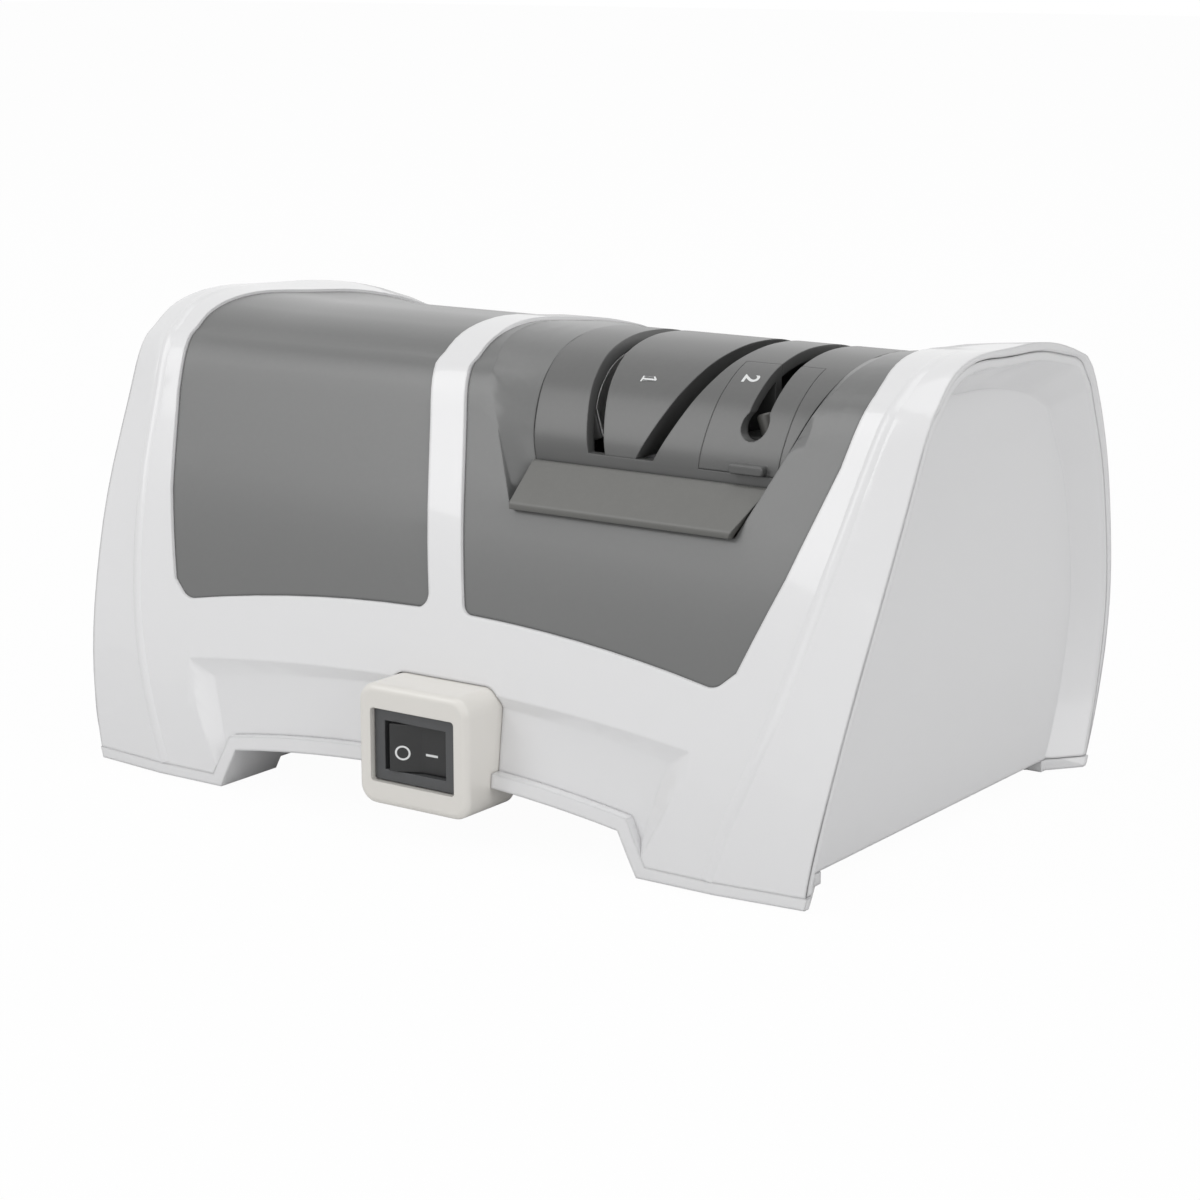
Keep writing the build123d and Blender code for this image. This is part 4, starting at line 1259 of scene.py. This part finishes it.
    def _wedge(self) -> Shape:
        """The hollow wedge between the coarse slots.

        Returns:
            The wedge.
        """
        half = self.half_slot()
        hollow = combine(self.form(self.wedge_wall, self.pocket_low),
                         [(Cut.KEEP, self.between_slots(-half - self.wedge_side))])
        return combine(self.form(0.0), [(Cut.KEEP, self.between_slots(-half)), (Cut.REMOVE, hollow)])

    def _sheets(self) -> Shape:
        """The thin spring sheets beside the coarse slots.

        Returns:
            Both sheets.
        """
        return merged([combine(self.leaf(slot, self.sheet_reach, self.sheet_low, self.sheet_depths),
                               [(Cut.KEEP, self.form(self.wall + self.sheet_gap, self.pocket_low))])
                       for slot in (0, 1)])


# ---- printed marks
@dataclass
class Mark:
    """A flat printed mark that lies on a node's surface.

    Args:
        name: name of the piece.
        body: the body that it rides on.
        centre: a point in front of its place, in the model's millimetres.
        look: direction from there to the surface.
        up: direction of the mark's upper side.
    """

    name: str
    body: str
    centre: Triple
    look: Triple
    up: Triple

    def lay(self, outline: Shape, carrier: Piece, shop: PaintShop) -> None:
        """Lay a flat outline on its carrier's surface, point by point.

        Args:
            outline: the mark in its own plane, in metres.
            carrier: what carries it.
            shop: where the finish comes from.
        """
        forward = Vector(self.look).normalized()
        right = forward.cross(Vector(self.up)).normalized()
        upwards = right.cross(forward).normalized()
        origin = to_frame(*self.centre)
        for vertex in outline.verts:
            start = origin + right * vertex.co.x + upwards * vertex.co.y
            found, place, normal, _ = carrier.ray_cast(start, forward)
            vertex.co = place + normal * PRINT_THICKNESS if found else start
        outline.normal_update()
        piece = new_piece(self.name, outline)
        shop.coat(piece, "print_white")
        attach(piece, self.body)
        LOG.info("laid %s", self.name)


def refined(shape: Shape, cuts: int) -> Shape:
    """A flat shape, cut fine enough to follow a curved surface.

    Args:
        shape: the shape; it is changed.
        cuts: cuts in each edge.

    Returns:
        The same shape.
    """
    bmesh.ops.triangulate(shape, faces=shape.faces[:])
    bmesh.ops.subdivide_edges(shape, edges=shape.edges[:], cuts=cuts, use_grid_fill=True)
    return shape


def glyph(text: str, height: float) -> Shape:
    """A figure in its own plane, centred.

    Args:
        text: the figure.
        height: its height in millimetres.

    Returns:
        The shape.
    """
    curve = bpy.data.curves.new("figure", "FONT")
    curve.body = text
    curve.size = height * MM * FONT_SIZE
    curve.offset = height * MM * FONT_WEIGHT
    curve.align_x = "CENTER"
    curve.align_y = "CENTER"
    holder = new_object("figure", curve)
    mesh = bpy.data.meshes.new_from_object(holder)
    shape = bmesh.new()
    shape.from_mesh(mesh)
    bpy.data.objects.remove(holder)
    bpy.data.meshes.remove(mesh)
    return refined(shape, 3)


def one(height: float) -> Shape:
    """The figure 1 with its flag and foot.

    Args:
        height: its height in millimetres.

    Returns:
        The shape.
    """
    unit = height * MM
    shape = bmesh.new()
    outline = [(-0.22, -0.5), (0.24, -0.5), (0.24, -0.39), (0.075, -0.39), (0.075, 0.5), (-0.04, 0.5),
               (-0.24, 0.3), (-0.24, 0.17), (-0.06, 0.33), (-0.06, -0.39), (-0.22, -0.39)]
    shape.faces.new([shape.verts.new((x * unit, y * unit, 0.0)) for x, y in outline])
    return refined(shape, 2)


def ring(outer: float, inner: float, steps: int = 48) -> Shape:
    """A flat ring from two radii in millimetres.

    Args:
        outer: the outer radius.
        inner: the inner radius.
        steps: runs around it.

    Returns:
        The shape.
    """
    shape = bmesh.new()
    rows = []
    for radius in (outer, (outer + inner) / 2, inner):
        rows.append([shape.verts.new((radius * MM * math.cos(2 * math.pi * i / steps),
                                      radius * MM * math.sin(2 * math.pi * i / steps), 0.0))
                     for i in range(steps)])
    for wide, narrow in zip(rows, rows[1:]):
        for i in range(steps):
            j = (i + 1) % steps
            shape.faces.new((wide[i], wide[j], narrow[j], narrow[i]))
    return shape


def bar(width: float, height: float) -> Shape:
    """A flat bar with rounded corners, from its size in millimetres.

    Args:
        width: its width.
        height: its height.

    Returns:
        The shape.
    """
    shape = bmesh.new()
    radius = min(width, height) * BAR_ROUND
    edge = []
    for sx, sy, turn in ((1, 1, 0.0), (-1, 1, 0.5), (-1, -1, 1.0), (1, -1, 1.5)):
        for step in range(4):
            angle = math.pi * (turn + step / 6)
            edge.append(shape.verts.new((
                (sx * (width / 2 - radius) + radius * math.cos(angle)) * MM,
                (sy * (height / 2 - radius) + radius * math.sin(angle)) * MM, 0.0)))
    shape.faces.new(edge)
    return shape


@dataclass
class PrintedMarks:
    """Figures beside the slots and the two marks on the switch's key; lengths in millimetres."""

    figure_height: float = 3.6
    figure_look: Triple = (0.0, 0.62, -0.78)
    figure_up: Triple = (1.0, 0.0, 0.0)
    coarse: Triple = (33.7, 15.5, 118.4)  # starts in front of the surfaces
    fine: Triple = (56.4, 17.8, 120.5)
    key_front: float = -30.0
    key_drop: float = 1.0  # how far the key's marks lie below its middle
    ring_x: float = -3.7
    ring_radii: Pair = (1.55, 1.15)
    bar_x: float = 2.6
    bar_size: Pair = (3.0, 0.5)

    def build(self, carriers: dict[str, Piece], shop: PaintShop) -> None:
        """Lay every mark on the piece that stands for its node.

        Args:
            carriers: the pieces and nodes by the node that each stands for.
            shop: where the finish comes from.
        """
        slope = self.figure_look, self.figure_up
        front = (0.0, 1.0, 0.0), (0.0, 0.0, 1.0)
        low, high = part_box("switch_rocker")
        middle = (low + high) / 2 / MM
        ring_place, bar_place = [(middle.x + x, self.key_front, middle.z - self.key_drop)
                                 for x in (self.ring_x, self.bar_x)]
        for mark, shape, node in (
                (Mark("figure_coarse", "body", self.coarse, *slope), one(self.figure_height), "coarse_wedge"),
                (Mark("figure_fine", "cartridge", self.fine, *slope), glyph("2", self.figure_height),
                 "fine_cartridge"),
                (Mark("mark_ring", "rocker", ring_place, *front), ring(*self.ring_radii), "switch_rocker"),
                (Mark("mark_bar", "rocker", bar_place, *front), bar(*self.bar_size), "switch_rocker")):
            mark.lay(shape, carriers[node], shop)


# ---- surroundings
@dataclass
class Studio:
    """Floor, light and camera; places in metres, angles in degrees."""

    camera_place: Triple = (0.36266, -0.51288, 0.18135)
    camera_azimuth: float = 35.163
    camera_elevation: float = 12.891
    lens: float = 86.87
    sensor: float = 36.0
    near_clip: float = 0.01
    world_strength: float = 0.48
    floor_show: float = 0.97  # how far the floor shows plain white
    floor_grey: float = 0.82
    floor_reach: float = 6.0
    aim: Triple = (0.0, 0.0, 0.04)  # what the lamps face
    lamps: tuple[tuple[str, Triple, float, float], ...] = (  # name, place, size in metres and watts
        ("key", (-0.9, -1.1, 1.3), 1.0, 8.0), ("top", (0.1, 0.1, 1.6), 1.2, 5.4),
        ("right", (1.5, -0.4, 0.7), 1.0, 5.4), ("front", (0.2, -1.6, 0.4), 0.9, 2.5))

    def build(self) -> None:
        """Set up everything around the object."""
        self._camera()
        self._floor()
        self._world()
        for lamp in self.lamps:
            self._lamp(*lamp)
        bpy.context.scene.view_settings.view_transform = "Standard"
        LOG.info("studio ready")

    def _camera(self) -> None:
        """The camera, without roll, at its azimuth and elevation."""
        camera = bpy.data.cameras.new("camera")
        camera.lens = self.lens
        camera.sensor_width = self.sensor
        camera.clip_start = self.near_clip
        holder = new_object("camera", camera)
        holder.location = self.camera_place
        holder.rotation_euler = (math.radians(90.0 - self.camera_elevation), 0.0,
                                 math.radians(self.camera_azimuth))
        bpy.context.scene.camera = holder

    def _floor(self) -> None:
        """A wide floor that shows almost white and keeps the object's shadow."""
        shape = bmesh.new()
        bmesh.ops.create_grid(shape, x_segments=4, y_segments=4, size=self.floor_reach)
        floor = new_piece("floor", shape)
        material = bpy.data.materials.new("floor")
        material.use_nodes = True
        tree = material.node_tree
        shader = tree.nodes["Principled BSDF"]
        shader.inputs["Base Color"].default_value = (*[self.floor_grey] * 3, 1.0)
        shader.inputs["Roughness"].default_value = 0.9
        shader.inputs["Specular IOR Level"].default_value = 0.1
        light = tree.nodes.new("ShaderNodeEmission")
        light.inputs["Color"].default_value = (1.0, 1.0, 1.0, 1.0)
        path = tree.nodes.new("ShaderNodeLightPath")
        mix = tree.nodes.new("ShaderNodeMixShader")
        tree.links.new(math_node(tree, "MULTIPLY", path.outputs["Is Camera Ray"], self.floor_show),
                       mix.inputs["Fac"])
        tree.links.new(shader.outputs[0], mix.inputs[1])
        tree.links.new(light.outputs[0], mix.inputs[2])
        tree.links.new(mix.outputs[0], tree.nodes["Material Output"].inputs["Surface"])
        floor.data.materials.append(material)

    def _world(self) -> None:
        """An even pale surround."""
        world = bpy.data.worlds.new("surround")
        bpy.context.scene.world = world
        world.use_nodes = True
        tree = world.node_tree
        background = tree.nodes["Background"]
        background.inputs["Color"].default_value = (1.0, 1.0, 1.0, 1.0)
        path = tree.nodes.new("ShaderNodeLightPath")
        seen = math_node(tree, "MAXIMUM", path.outputs["Is Camera Ray"], path.outputs["Is Transmission Ray"])
        seen = math_node(tree, "MAXIMUM", seen, path.outputs["Is Glossy Ray"])
        extra = math_node(tree, "MULTIPLY", seen, 1.0 - self.world_strength)
        tree.links.new(math_node(tree, "ADD", extra, self.world_strength), background.inputs["Strength"])

    def _lamp(self, name: str, place: Triple, size: float, power: float) -> None:
        """A square soft lamp that faces the object.

        Args:
            name: its name.
            place: where it stands.
            size: its side in metres.
            power: its power in watts.
        """
        lamp = bpy.data.lights.new(name, "AREA")
        lamp.size = size
        lamp.energy = power
        holder = new_object(name, lamp)
        holder.location = place
        holder.rotation_euler = (Vector(self.aim) - Vector(place)).to_track_quat("-Z", "Y").to_euler()


def main() -> None:
    """Build the scene around the frame."""
    logging.basicConfig(level=logging.INFO)
    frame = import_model()
    shop = PaintShop()
    shop.coat_frame(frame)
    saddle = Saddle()
    shell = Shell()
    pieces = {**saddle.build(frame), **shell.build(frame, saddle)}
    for node, piece in pieces.items():
        shop.coat(piece, shop.slot_of(frame, node))
    shell.creases(pieces["casing"], shop)
    PrintedMarks().build({**frame["nodes"], **pieces}, shop)
    Studio().build()


if __name__ == "__main__":
    main()
